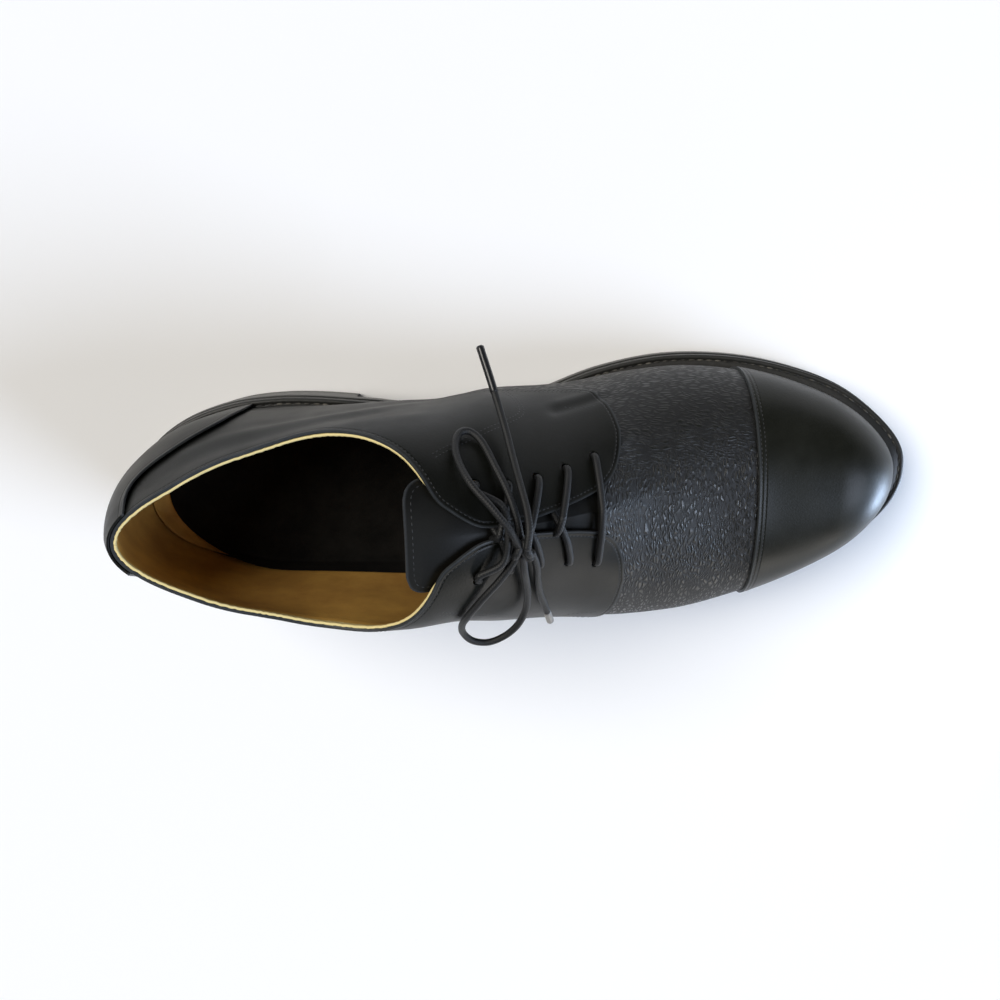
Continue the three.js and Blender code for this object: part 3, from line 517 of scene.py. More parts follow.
def breast_line(count):
    t = np.linspace(0, 1, count)[:, None]
    first = np.array([HEEL_LENGTH, -HEEL_WIDTH])
    middle = np.array([HEEL_LENGTH - 2 * BREAST_HOLLOW, 0.0])
    last = np.array([HEEL_LENGTH + 2 * BREAST_SWEEP, HEEL_WIDTH])
    return first * (1 - t) ** 2 + 2 * middle * t * (1 - t) + last * t**2


def heel_outline(count):
    """Round the back from the breast's inner corner to its outer one, then along the breast"""
    breast = breast_line(801)
    behind = heel_back[heel_back[:, 0] <= np.interp(heel_back[:, 1], breast[:, 1], breast[:, 0])]
    inner, outer = behind[0], behind[-1]
    across = breast[(breast[:, 1] > outer[1]) & (breast[:, 1] < inner[1])]
    return respaced(behind, count - count // 4), respaced(np.vstack([outer, across, inner]), count // 4)


heel_round, heel_breast = heel_outline(4 * HEEL_STEPS)
heel_loop = np.vstack([heel_round, heel_breast[1:]])
HEEL_MIDDLE = np.array([0.5 * HEEL_LENGTH, 0.0])
# Levels are a height and how far out to the outline they reach; a groove marks the top piece's joint
heel_levels = [(0, 0.5), (0, 0.97), (0.25, 0.995), (0.7, 1)]
heel_levels = np.array(heel_levels + [(z, 1) for z in (2, 4, 6, 6.25, 6.5, 8, 10, 12, 14, 16, 20)])
HEEL_GROOVE_HEIGHT, HEEL_GROOVE_DEPTH = 6.25, 0.25


def heel_surface(a, b):
    i = np.rint(a * (len(heel_loop) - 1)).astype(int)
    j = np.rint(b * (len(heel_levels) - 1)).astype(int)
    high, spread = heel_levels[j].T
    x, y = heel_loop[i, 0], heel_loop[i, 1]
    roof = sole_underside(x) - 0.1
    z = np.minimum(high, roof)
    draw = HEEL_TAPER * (1 - z / HEEL_HEIGHT) / (HEEL_WIDTH / 2)
    groove = HEEL_GROOVE_DEPTH * np.exp(-(((z - HEEL_GROOVE_HEIGHT) / HEEL_GROOVE_DEPTH) ** 2))
    x = x + (HEEL_LENGTH - x) * draw * 0.5
    y = y * (1 - draw)
    away = np.stack([x - HEEL_MIDDLE[0], y - HEEL_MIDDLE[1]], axis=1)
    reach = np.linalg.norm(away, axis=1)[:, None]
    away = away * spread[:, None] - away / np.maximum(reach, 1e-6) * groove[:, None]
    return np.column_stack([HEEL_MIDDLE + away, z])


heel_stack = bent_grid("heel_stack", len(heel_loop) - 1, len(heel_levels) - 1, heel_surface)
SMOOTH_STEP = {"interpolation_type": "SMOOTHSTEP"}
heel_ink, tree, shader = finish_of("inked heel lifts", 0.45, coat=0.2, coat_roughness=0.35)
place = node(tree, "ShaderNodeTexCoord").outputs["Object"]
mottle = node(tree, "ShaderNodeTexNoise", Vector=place, Scale=260.0, Detail=5.0, Roughness=0.65)
tone = node(tree, "ShaderNodeValToRGB", tones=((0.0, "#0e0e0b"), (1.0, "#1a1a15")), _0=mottle)
layers = node(tree, "ShaderNodeMapping", Vector=place, Scale=(40, 40, 1200))
lines = node(tree, "ShaderNodeTexNoise", Vector=layers, Scale=1.0, Detail=4.0)
bump = node(tree, "ShaderNodeBump", Height=lines, Strength=0.3, Distance=0.00025)
spot = metres((HEEL_LENGTH - 1.0, -20.0, HEEL_HEIGHT - 3.0)).tolist()
near = node(tree, "ShaderNodeVectorMath", {"operation": "DISTANCE"}, _0=place, _1=spot)
bare = node(tree, "ShaderNodeMapRange", SMOOTH_STEP, _0=near.outputs[1], _1=0.017, _2=0.009)
mixed = node(tree, "ShaderNodeMix", {"data_type": "RGBA"}, _0=bare, _6=tone, _7=linear("#56291f"))
feed(shader, Base_Color=mixed.outputs[2], Normal=bump)
dress(heel_stack, heel_ink, "sole_leather", "heel")

# Welt: a strip of black leather stitched to the upper and laid on the sole, its top wheeled with a shallow
# groove that the sole stitches sit in, one every 3.5 mm.
WELT_GROOVE_INSET = 2.6
welt_profile = [
    (9.5, 0, 0), (3.0, 0, 0), (EDGE_STEP + 0.35, 0, 0), (EDGE_STEP + 0.1, 0.12, 0), (EDGE_STEP, 0.4, 0),
    (EDGE_STEP, -0.7, 1), (EDGE_STEP + 0.2, -0.22, 1), (EDGE_STEP + 0.7, 0, 1),
]
groove_profile = ((-0.8, 0.02), (-0.3, -0.25), (0, -0.38), (0.3, -0.25), (0.8, 0.02))
welt_profile += [(WELT_GROOVE_INSET + away, high, 1) for away, high in groove_profile]
welt_profile += [(5.6, 0, 1), (9.5, 0, 1)]
welt_surface = edge_strip(welt_profile, welt_bottom, welt_top)
welt_strip = bent_grid("welt_strip", OUTLINE_COUNT, len(welt_profile) - 1, welt_surface, edge_pattern)
welt_leather, tree, shader = finish_of("inked welt leather", 0.5, coat=0.15, coat_roughness=0.4)
place = node(tree, "ShaderNodeTexCoord").outputs["Object"]
mottle = node(tree, "ShaderNodeTexNoise", Vector=place, Scale=420.0, Detail=6.0, Roughness=0.7)
tone = node(tree, "ShaderNodeValToRGB", tones=((0.0, "#0d0d0b"), (1.0, "#1e1e1a")), _0=mottle)
bump = node(tree, "ShaderNodeBump", Height=mottle, Strength=0.6, Distance=0.0003)
feed(shader, Base_Color=tone, Normal=bump)
dress(welt_strip, welt_leather, "welt_leather", "welt")


def stitch_row(mesh, line, ups, pitch, thick, share=0.72, sink=0.25):
    """Stitches along a line of points, each a short bead of thread that sinks into the leather at its ends"""
    line, ups = np.asarray(line, float), np.asarray(ups, float)
    count = max(2, round(length_of(line) / pitch))
    both = respaced(np.hstack([line, ups]), 2 * count)
    batch, batch_data = bmesh.new(), bpy.data.meshes.new("batch")
    for k in range(1, 2 * count, 2):
        before, after = both[k - 1, :3], both[k + 1, :3]
        run = Vector(after - before).normalized()
        up = Vector(both[k, 3:])
        up = (up - up.dot(run) * run).normalized()
        cross = up.cross(run)
        long = np.linalg.norm(after - before) * share / 1000
        turn = Matrix((run, cross, up)).transposed().to_4x4()
        middle = Vector(metres(both[k, :3])) - up * (sink * thick / 1000)
        size = Matrix.Diagonal((long, thick / 1000, thick / 1000, 1))
        bmesh.ops.create_uvsphere(
            batch, u_segments=6, v_segments=5, radius=0.5, matrix=Matrix.Translation(middle) @ turn @ size
        )
        if k % 50 == 49 or k > 2 * count - 2:
            batch.to_mesh(batch_data)
            mesh.from_mesh(batch_data)
            batch.clear()
    batch.free()
    bpy.data.meshes.remove(batch_data)


WELT_PITCH, WELT_THREAD = 3.5, 0.75
GROOVE_ROW, GROOVE_POINTS = 10, 900
groove_share = np.full(GROOVE_POINTS, GROOVE_ROW / (len(welt_profile) - 1))
welt_line = welt_surface(np.linspace(0, 1, GROOVE_POINTS), groove_share)
mesh = bmesh.new()
upwards = np.tile((0, 0, 1.0), (GROOVE_POINTS, 1))
stitch_row(mesh, welt_line, upwards, WELT_PITCH, WELT_THREAD, share=0.8, sink=-0.1)
welt_stitching = finished("welt_stitching", mesh)

# Thread: waxed linen, dark grey with a pale bloom of wax on the raised stitches
thread, tree, shader = finish_of("waxed linen thread", 0.6)
place = node(tree, "ShaderNodeTexCoord").outputs["Object"]
bloom = node(tree, "ShaderNodeTexNoise", Vector=place, Scale=160.0, Detail=3.0)
tone = node(tree, "ShaderNodeValToRGB", tones=((0.42, "#1c1c1a"), (0.68, "#6a675f")), _0=bloom)
feed(shader, Base_Color=tone)
dress(welt_stitching, thread, "thread")

# The last itself: cross sections from foot line to ridge, at stations along the shoe
INSTEP_HEIGHT, TOE_HEIGHT, BACK_HEIGHT = 117.0, 57.0, 105.0
TOE_WALL, SIDE_SWELL, WIDEST_RISE = 8.0, 10.0, 20.0
BACK_TUCK_TOP, BACK_TUCK_FOOT = 9.0, 4.0
RIDGE_OFFSET = 1.2
LAST_BACK, LAST_TIP, TOE_TOP = 0.0075 * SHOE_LENGTH, 0.968 * SHOE_LENGTH, 0.878 * SHOE_LENGTH
LAST = table(
    "at margin medial lateral rise roof wall",
    (0.0, 0.75, 0.15, 0.15, 1.3, 2.0, 1.1),
    (0.1, 0.75, 0.15, 0.15, 1.3, 2.0, 1.35),
    (0.2, 0.75, 0.1, 0.22, 1.35, 2.0, 2.4),
    (0.28, 0.7, 0.45, 0.3, 1.4, 2.0, 5.0),
    (0.34, 0.7, 0.8, 0.35, 1.45, 2.0, 4.6),
    (0.4, 0.75, 1.2, 0.35, 1.45, 1.6, 3.2),
    (0.45, 0.8, 1.45, 0.35, 1.4, 1.3, 3.1),
    (0.5, 0.85, 1.25, 0.3, 1.25, 1.15, 2.8),
    (0.57, 0.95, 0.65, 0.25, 1.0, 1.25, 2.5),
    (0.62, 1.0, 0.45, 0.22, 0.85, 1.55, 2.35),
    (0.68, 1.0, 0.3, 0.2, 0.75, 1.85, 2.2),
    (0.78, 1.0, 0.2, 0.18, 0.65, 2.1, 2.2),
    (0.9, 1.1, 0.15, 0.15, 0.5, 2.2, 2.3),
    (1.0, 1.2, 0.1, 0.1, 0.35, 2.3, 2.3),
)
RIDGE = table(
    "at of top",
    (0.0, BACK_HEIGHT, 1.3),
    (0.2, BACK_HEIGHT, 1.29),
    (0.28, INSTEP_HEIGHT, 1.09),
    (0.33, INSTEP_HEIGHT, 1.045),
    (0.36, INSTEP_HEIGHT, 1.03),
    (0.4, INSTEP_HEIGHT, 1.01),
    (0.43, INSTEP_HEIGHT, 0.982),
    (0.465, INSTEP_HEIGHT, 0.936),
    (0.505, INSTEP_HEIGHT, 0.878),
    (0.545, INSTEP_HEIGHT, 0.812),
    (0.575, INSTEP_HEIGHT, 0.763),
    (0.6, INSTEP_HEIGHT, 0.715),
    (0.63, INSTEP_HEIGHT, 0.655),
    (0.675, TOE_HEIGHT, 1.235),
    (0.73, TOE_HEIGHT, 1.13),
    (0.785, TOE_HEIGHT, 1.062),
    (0.84, TOE_HEIGHT, 1.03),
    (1.0, TOE_HEIGHT, 0.96),
)
TUCK_SHARE = 0.25


def foot_half(medial, x):
    return read_side(SOLE, medial, x) - read(LAST, "margin", x) * WELT_MARGIN


def ridge_height(x):
    high = read(RIDGE, "top", x)
    t = np.clip((x - TOE_TOP) / (LAST_TIP - TOE_TOP), 0, 1)
    low = upper_foot(LAST_TIP) + TOE_WALL
    return np.where(x <= TOE_TOP, high, low + (high - low) * np.sqrt(1 - t * t))


def back_lean(x, z):
    """The back bulges at mid height and tucks in at the collar and at the sole"""
    bulge = 0.58 * BACK_HEIGHT
    above = np.maximum(z - bulge, 0) / (BACK_HEIGHT - bulge)
    below = np.maximum(bulge - z, 0) / (bulge - upper_foot(0.0))
    tuck = BACK_TUCK_TOP * above**1.5 + BACK_TUCK_FOOT * below**1.5
    return tuck * (1 - smooth((x - LAST_BACK) / (0.25 * SHOE_LENGTH)))


def last_point(x, v):
    """A point of the last: v runs from -1 at the outer foot over the ridge at 0 to 1 at the inner foot"""
    x, v = np.broadcast_arrays(np.asarray(x, float), np.asarray(v, float))
    medial = v >= 0
    sign = np.where(medial, 1.0, -1.0)
    round_off = end_round(x, LAST_BACK, LAST_TIP)
    foot = foot_half(medial, x) * round_off
    wide = foot + SIDE_SWELL * read_side(LAST, medial, x) * round_off
    widest = upper_foot(x) + WIDEST_RISE * read(LAST, "rise", x) * np.maximum(round_off, 0.5)
    up = 1 - np.abs(v)
    tuck = up / TUCK_SHARE
    low_y = sign * (foot + (wide - foot) * np.sin(np.clip(tuck, 0, 1) * math.pi / 2))
    low_z = upper_foot(x) + (widest - upper_foot(x)) * tuck
    t = np.clip((up - TUCK_SHARE) / (1 - TUCK_SHARE), 0, 1) * math.pi / 2
    ridge = RIDGE_OFFSET * round_off
    high_y = ridge + sign * (wide - sign * ridge) * np.maximum(np.cos(t), 0) ** (2 / read(LAST, "roof", x))
    high_z = widest + (ridge_height(x) - widest) * np.sin(t) ** (2 / read(LAST, "wall", x))
    y = np.where(up < TUCK_SHARE, low_y, high_y)
    z = np.where(up < TUCK_SHARE, low_z, high_z)
    return np.stack([x + back_lean(x, z), y, z], axis=-1)


def station(s):
    """Station of the last for a share s of the way from heel to toe, closer together at both ends"""
    return LAST_BACK + (LAST_TIP - LAST_BACK) * (1 - np.cos(np.pi * np.clip(s, 0, 1))) / 2


def share_of(x):
    return np.arccos(np.clip(1 - 2 * (x - LAST_BACK) / (LAST_TIP - LAST_BACK), -1, 1)) / np.pi


def slopes(s, v):
    """How the surface runs along the shoe and up its side at a place"""
    ds, dv = 0.002, 0.004
    s1, s0 = np.minimum(s + ds, 1), np.maximum(s - ds, 0)
    v1, v0 = np.minimum(v + dv, 1), np.maximum(v - dv, -1)
    along = (last_point(station(s1), v) - last_point(station(s0), v)) / (s1 - s0)[..., None]
    across = (last_point(station(s), v1) - last_point(station(s), v0)) / (v1 - v0)[..., None]
    return along, across


def skin(s, v, lift=0.0):
    """Points on the last, lifted off it, and the way out of it"""
    s, v = np.broadcast_arrays(np.asarray(s, float), np.asarray(v, float))
    along, across = slopes(s, v)
    out = np.cross(along, across)
    out /= np.maximum(np.linalg.norm(out, axis=-1), 1e-9)[..., None]
    lift = np.broadcast_to(np.asarray(lift, float), s.shape)
    return last_point(station(s), v) + lift[..., None] * out, out


GIRTH_S = np.linspace(0, 1, 181)
# closer together near the widest place, where the roof falls steeply
GIRTH_V = (1 - TUCK_SHARE) * (1 - np.linspace(1, 0, 300) ** 3)
GIRTH_V = np.r_[GIRTH_V, np.linspace(1 - TUCK_SHARE, 1, 60)[1:]]


def girth_table(side):
    """Way from the ridge down one side, for a grid of stations and places"""
    s, v = np.meshgrid(GIRTH_S, GIRTH_V, indexing="ij")
    steps = np.linalg.norm(np.diff(last_point(station(s), side * v), axis=1), axis=-1)
    return np.hstack([np.zeros((len(GIRTH_S), 1)), np.cumsum(steps, axis=1)])


GIRTHS = {side: girth_table(side) for side in (1, -1)}


def girth(s, v):
    """Way from the ridge to a place, round the shoe"""
    s, v = np.broadcast_arrays(np.asarray(s, float), np.asarray(v, float))
    row = np.clip(s, 0, 1) * (len(GIRTH_S) - 1)
    column = np.interp(np.abs(v), GIRTH_V, np.arange(len(GIRTH_V)))
    i = np.minimum(row.astype(int), len(GIRTH_S) - 2)
    j = np.minimum(column.astype(int), len(GIRTH_V) - 2)
    p, q = row - i, column - j
    ways = []
    for side in (1, -1):
        table = GIRTHS[side]
        near = table[i, j] * (1 - q) + table[i, j + 1] * q
        far = table[i + 1, j] * (1 - q) + table[i + 1, j + 1] * q
        ways.append(near * (1 - p) + far * p)
    return np.where(v >= 0, ways[0], -ways[1])


def place_where(short, far, halvings=30):
    """Place down the side, between the ridge and far, where a test stops being true"""
    near = np.zeros(far.shape)
    for _ in range(halvings):
        middle = (near + far) / 2
        more = short(middle)
        near, far = np.where(more, middle, near), np.where(more, far, middle)
    return (near + far) / 2


def v_at_girth(s, way):
    """Place down the side where the way from the ridge, below 0 on the outer side, is as given"""
    s, way = np.broadcast_arrays(np.asarray(s, float), np.asarray(way, float))
    side = np.where(way >= 0, 1.0, -1.0)

    def too_near(v):
        return np.abs(girth(s, side * v)) < np.abs(way)

    return side * place_where(too_near, np.ones(s.shape), halvings=28)


def flat_pattern(s, v):
    """Pattern of a piece of leather laid flat, in millimetres"""
    return np.stack([station(s), girth(s, v)], axis=1)


def v_at_height(side, x, z):
    """Where the last's side reaches a height at a place along the shoe"""
    x, z = np.broadcast_arrays(np.asarray(x, float), np.asarray(z, float))
    base = np.clip(x - back_lean(x, z), LAST_BACK, LAST_TIP)

    def too_high(v):
        return last_point(base, side * v)[..., 2] > z

    return share_of(base), side * place_where(too_high, np.ones(x.shape))


def v_at_width(side, x, width):
    """Where the last is a given width out from its ridge"""
    x, width = np.broadcast_arrays(np.asarray(x, float), np.asarray(width, float))

    def too_near(v):
        return side * (last_point(x, side * v)[..., 1] - RIDGE_OFFSET) < width

    return share_of(x), side * place_where(too_near, np.full(x.shape, 1 - TUCK_SHARE))


# Edges of the leather pieces, as the pattern cutter draws them
THROAT_GAP = 13.0
COLLAR = table(
    "at top",
    (-0.1, 1.0), (0.04, 1.0), (0.095, 0.995), (0.125, 0.979), (0.18, 0.948), (0.22, 0.93), (0.26, 0.934),
    (0.29, 0.96), (0.32, 0.998), (0.35, 1.042), (0.38, 1.1), (0.42, 1.2),
)
FACING = table(
    "at half",
    (0.36, 1.25), (0.375, 1.05), (0.39, 0.8), (0.412, 0.42), (0.428, 0.21), (0.445, 0.14), (0.482, 0.155),
    (0.525, 0.3), (0.557, 0.47), (0.5755, 0.66), (0.591, 1.02), (0.599, 1.55), (0.602, 2.2),
)
QUARTER_EDGE = table(
    "at top",
    (0.25, 0.0), (0.262, 0.19), (0.277, 0.264), (0.298, 0.332), (0.331, 0.4), (0.37, 0.443),
    (0.426, 0.464), (0.475, 0.457), (0.538, 0.419), (0.566, 0.42), (0.582, 0.462), (0.594, 0.53),
    (0.601, 0.6), (0.604, 0.67), (0.602, 0.8),
)
COUNTER_EDGE = table(
    "at top",
    (0.155, 0.0), (0.157, 0.3), (0.154, 0.45), (0.147, 0.56), (0.137, 0.64), (0.118, 0.7), (0.09, 0.75),
    (0.062, 0.79), (0.05, 0.85), (0.052, 1.0),
)


def collar_line(side, count=160):
    x = np.linspace(LAST_BACK, 0.41 * SHOE_LENGTH, count)
    return np.stack(v_at_height(side, x, BACK_HEIGHT * read(COLLAR, "top", x)), axis=1)


def facing_line(side, back=0.0, count=200):
    x = np.linspace(0.36, 0.602, count) * SHOE_LENGTH
    return np.stack(v_at_width(side, x, THROAT_GAP * read(FACING, "half", x) + back), axis=1)


def side_line(side, rows, height, count=160):
    """An edge that is drawn on the side view"""
    points = np.stack([rows["at"] * SHOE_LENGTH, rows["top"] * height], axis=1)
    line = curve_through(points, length_of(points) / count)
    foot = upper_foot(line[:, 0])
    return np.stack(v_at_height(side, line[:, 0], np.maximum(line[:, 1], foot)), axis=1)


def places_of(line, lift=0.0):
    return skin(line[:, 0], line[:, 1], lift)[0]


def joined(first, second, corner=0.0):
    """Two lines up to where they meet, the corner between them rounded off"""
    gaps = np.linalg.norm(places_of(first)[:, None] - places_of(second)[None], axis=2)
    i, j = np.unravel_index(np.argmin(gaps), gaps.shape)
    line = np.vstack([first[:i], second[j:]])
    if corner:
        walked = walk_along(places_of(line))
        middle = walked[max(i - 1, 0)]
        even = np.linspace(0, walked[-1], 400)
        line = points_at(even, walked, line)
        for _ in range(60):
            near = np.exp(-(((even[1:-1] - middle) / corner) ** 2))[:, None]
            line[1:-1] += near * 0.5 * ((line[:-2] + line[2:]) / 2 - line[1:-1])
    return line


def even_line(line, count):
    """Equal steps on the leather along a line of the last"""
    walked = walk_along(places_of(line))
    return points_at(np.linspace(0, walked[-1], count + 1), walked, line)


def at_share(line, share):
    """Places on an evenly spaced line"""
    return points_at(share, np.linspace(0, 1, len(line)), line)


def stretched_between(bottom, top, back, front):
    """Sheet of leather between four edges: places of the last for a along it and b up it"""

    def sheet(a, b):
        a_, b_ = a[:, None], b[:, None]
        faces = (1 - b_) * at_share(bottom, a) + b_ * at_share(top, a)
        ends = (1 - a_) * at_share(back, b) + a_ * at_share(front, b)
        corners = (1 - a_) * (1 - b_) * bottom[0] + a_ * (1 - b_) * bottom[-1]
        corners = corners + (1 - a_) * b_ * top[0] + a_ * b_ * top[-1]
        return faces + ends - corners

    return sheet


# Folds that wear and lasting leave, in the pattern's millimetres: a soft line from one place to another
FOLDS = table(
    "x0 g0 x1 g1 width depth",
    (18, 50, 96, 66, 5.0, -0.5),
    (30, 62, 108, 76, 4.0, 0.35),
    (52, 74, 118, 84, 5.0, -0.35),
    (60, 48, 110, 54, 5.0, 0.3),
    (26, -58, 90, -62, 6.0, -0.3),
    (160, 45, 178, 48, 3.0, -0.6),
    (162, 50, 178, 53, 3.0, 0.4),
    (180, -15, 196, -4, 6.0, -0.9),
    (182, 17, 197, 8, 6.0, -0.5),
    (190, -26, 206, -12, 6.0, 0.35),
    (202, 12, 226, 20, 9.0, 0.3),
    (200, -32, 222, -36, 8.0, -0.3),
)


def fold_lift(flat):
    """How far the folds lift or sink the leather at a place of the pattern"""
    lift = np.zeros(len(flat))
    for x0, g0, x1, g1, width, depth in zip(*FOLDS.values()):
        start, run = np.array([x0, g0]), np.array([x1 - x0, g1 - g0])
        t = ((flat - start) @ run) / (run @ run)
        away = np.linalg.norm(flat - start - np.clip(t, 0, 1)[:, None] * run, axis=1)
        lift += depth * np.exp(-((away / width) ** 2))
    return lift


def nearest(points, line):
    """Distance of each point from a line"""
    found = np.full(len(points), 1e9)
    for start in range(0, len(line), 200):
        part = line[start : start + 200]
        found = np.minimum(found, np.linalg.norm(points[:, None] - part[None], axis=2).min(axis=1))
    return found


def walled(piece, thickness):
    """Gives a sheet its thickness, inwards"""
    wall = piece.modifiers.new("thickness", "SOLIDIFY")
    wall.thickness = thickness / 1000
    wall.offset = -1


SKIVE_START = 0.88
EDGE_ROLL = 0.45


def leather(name, grid, sheet, lift, edges, thickness, folds=True, inside_out=False, skive=0.0):
    """A piece of leather on the last, with its thickness and its finished edges rounded. Its mark called edge
    is the distance from the nearest finished edge. Skive thins it towards its top edge."""
    fine_edges = np.vstack([places_of(even_line(line, 500), lift) for line in edges])

    def surface(a, b):
        s, v = sheet(a, b).T
        extra = fold_lift(flat_pattern(s, v)) if folds else 0.0
        thinned = skive * smooth((b - SKIVE_START) / (1 - SKIVE_START))
        return skin(s, v, lift + extra - thinned)[0]

    def layout(a, b):
        return flat_pattern(*sheet(a, b).T)

    def marks(a, b):
        return {"edge": nearest(places_of(sheet(a, b), lift), fine_edges)}

    piece = bent_grid(name, *grid, surface, layout, marks, inside_out=inside_out)
    walled(piece, thickness)
    soft = piece.modifiers.new("rounded edge", "BEVEL")
    soft.width = EDGE_ROLL / 1000
    soft.segments = 3
    soft.limit_method = "ANGLE"
    soft.angle_limit = math.radians(55)
    return piece


INSET_STEPS = 8


def inset_line(line, distance, lift, folds=False, count=400):
    """A line that keeps its distance from an edge, to its left, and the way out of the leather there"""
    line = even_line(line, count)
    places, out = skin(line[:, 0], line[:, 1], lift)
    run = np.gradient(places, axis=0)
    run /= np.linalg.norm(run, axis=1)[:, None]
    inward = np.cross(out, run) * distance / INSET_STEPS
    s, v = line.T
    for _ in range(INSET_STEPS):
        along, across = slopes(s, v)
        across /= np.linalg.norm(across, axis=1)[:, None]
        grid = np.linalg.pinv(np.stack([along, across], axis=2))
        moves = np.einsum("nij,nj->ni", grid, inward)
        s = np.clip(s + moves[:, 0], 0, 1)
        v = v_at_girth(s, girth(s, v) + moves[:, 1])
    extra = fold_lift(flat_pattern(s, v)) if folds else 0.0
    return skin(s, v, lift + extra)


WALL, QUARTER_STEP, COUNTER_THICKNESS, CAP_THICKNESS = 1.5, 1.1, 0.9, 1.1
QUARTER_THICKNESS = QUARTER_STEP - 0.05
STITCH_PITCH, STITCH_THREAD = 1.7, 0.42


# Calf: box calf, aniline dyed black and glazed. Close, smooth grain: near black with a cool, soft shine and
# a faint haze of wax. A painted highlight turns it cool grey near a finished edge, where a folded edge
# catches light.
def calf_finish(name, deep, pale, roughness, seams):
    """Smooth calf. Seams are the distances from its edge at which a row of stitches presses it down."""
    material, tree, shader = finish_of(name, roughness, specular=0.2)
    place = node(tree, "ShaderNodeTexCoord").outputs["Object"]
    haze = node(tree, "ShaderNodeTexNoise", Vector=place, Scale=34.0, Detail=4.0, Roughness=0.6)
    pores = node(tree, "ShaderNodeTexNoise", Vector=place, Scale=1500.0, Detail=3.0, Roughness=0.6)
    cells = node(tree, "ShaderNodeTexVoronoi", {"feature": "F1"}, Vector=place, Scale=1300.0)
    tone = node(tree, "ShaderNodeValToRGB", tones=((0.35, deep), (0.7, pale)), _0=haze)
    edge = node(tree, "ShaderNodeAttribute", {"attribute_name": "edge"}).outputs["Fac"]
    # painted highlight: the colour turns cool grey within 0.9 mm of a finished edge, standing in for light
    # caught by the fold
    painted_edge_highlight = node(tree, "ShaderNodeMapRange", _0=edge, _1=0.0, _2=0.9, _3=0.5, _4=0.0)
    tone_with_edge_highlight = node(tree, "ShaderNodeMix", {"data_type": "RGBA"}, _0=painted_edge_highlight, _6=tone, _7=linear("#4c5054"))
    dull = roughness + 0.09
    shine = node(tree, "ShaderNodeMapRange", _0=haze, _1=0.3, _2=0.7, _3=roughness - 0.05, _4=dull)
    grain = node(tree, "ShaderNodeMath", {"operation": "MULTIPLY_ADD"}, _0=cells, _1=0.5, _2=pores)
    relief = grain
    for seam in seams:
        away = node(tree, "ShaderNodeMath", {"operation": "SUBTRACT"}, _0=edge, _1=seam)
        away = node(tree, "ShaderNodeMath", {"operation": "ABSOLUTE"}, _0=away)
        dent = node(tree, "ShaderNodeMapRange", SMOOTH_STEP, _0=away, _1=0.0, _2=0.75, _3=-4.5, _4=0.0)
        relief = node(tree, "ShaderNodeMath", {"operation": "ADD"}, _0=relief, _1=dent).outputs[0]
    bump = node(tree, "ShaderNodeBump", Height=relief, Strength=0.5, Distance=0.00006)
    feed(shader, Base_Color=tone_with_edge_highlight.outputs[2], Roughness=shine, Normal=bump)
    return material


QUARTER_SEAMS = (1.6, 3.3)
CAP_SEAMS = (1.0, 2.6)
quarter_calf = calf_finish("box calf, quarters", "#0a0b08", "#12130f", 0.4, QUARTER_SEAMS[:1])
# the cap's calf is toned paler than the quarters' as a painted broad sheen over the polished cap
cap_calf = calf_finish("box calf, polished cap", "#13140f", "#1e1f1a", 0.37, CAP_SEAMS)

# Grained calf of the vamp: tumbled in a drum until it pebbles. Its cells, about 1.1 mm by 3.3 mm, are drawn
# out across the foot; the tops of the pebbles are polished and their hollows matt.
CELL_SHORT, CELL_LONG, CELL_WANDER = 1.1, 3.3, 3.4
grained_calf, tree, shader = finish_of("tumbled calf", 0.4, specular=0.5)
flat = node(tree, "ShaderNodeTexCoord").outputs["UV"]
wander = node(tree, "ShaderNodeTexNoise", Vector=flat, Scale=0.12, Detail=1.0)
bent = node(tree, "ShaderNodeVectorMath", {"operation": "MULTIPLY_ADD"}, _0=wander.outputs[1], _2=flat)
feed(bent, _1=(CELL_WANDER, CELL_WANDER, 0.0))
layers = []
for angle, long in ((0, CELL_LONG), (-72, CELL_LONG * 1.2)):
    turned = node(tree, "ShaderNodeMapping", Vector=bent, Rotation=(0, 0, math.radians(angle)))
    drawn = node(tree, "ShaderNodeMapping", Vector=turned, Scale=(1 / CELL_SHORT, 1 / long, 1))
    pebble = node(tree, "ShaderNodeTexVoronoi", {"feature": "DISTANCE_TO_EDGE"}, Vector=drawn, Scale=1.0)
    domes = node(tree, "ShaderNodeMapRange", SMOOTH_STEP, _0=pebble, _2=0.36)
    layers.append(domes)
# across the ball the cells lie crosswise, up the inner side they swing round and run along the shoe
down_side = node(tree, "ShaderNodeSeparateXYZ", _0=flat).outputs[1]
inner = node(tree, "ShaderNodeMapRange", SMOOTH_STEP, _0=down_side, _1=4.0, _2=24.0)
relief = node(tree, "ShaderNodeMix", {"data_type": "FLOAT"}, _0=inner, _2=layers[0], _3=layers[1])
# stretched smoother over the last's lower sides
drum = node(tree, "ShaderNodeTexNoise", Vector=flat, Scale=0.03, Detail=2.0)
strong = node(tree, "ShaderNodeMapRange", _0=drum, _1=0.35, _2=0.65, _3=0.7, _4=1.0)
off_middle = node(tree, "ShaderNodeMath", {"operation": "ADD"}, _0=down_side, _1=8.0)
off_middle = node(tree, "ShaderNodeMath", {"operation": "ABSOLUTE"}, _0=off_middle)
kept = node(tree, "ShaderNodeMapRange", SMOOTH_STEP, _0=off_middle, _1=20.0, _2=42.0, _3=1.0, _4=0.3)
strong = node(tree, "ShaderNodeMath", {"operation": "MULTIPLY"}, _0=strong, _1=kept)
bump = node(tree, "ShaderNodeBump", Height=relief, Strength=strong, Distance=0.00036)
# colour: darker in the hollows between the pebbles as painted shade, paler on their tops as painted highlight
tone = node(tree, "ShaderNodeValToRGB", tones=((0.0, "#050505"), (1.0, "#141511")), _0=relief)
shine = node(tree, "ShaderNodeMapRange", _0=relief, _1=0.2, _2=1.0, _3=0.62, _4=0.33)
feed(shader, Base_Color=tone, Roughness=shine, Normal=bump)

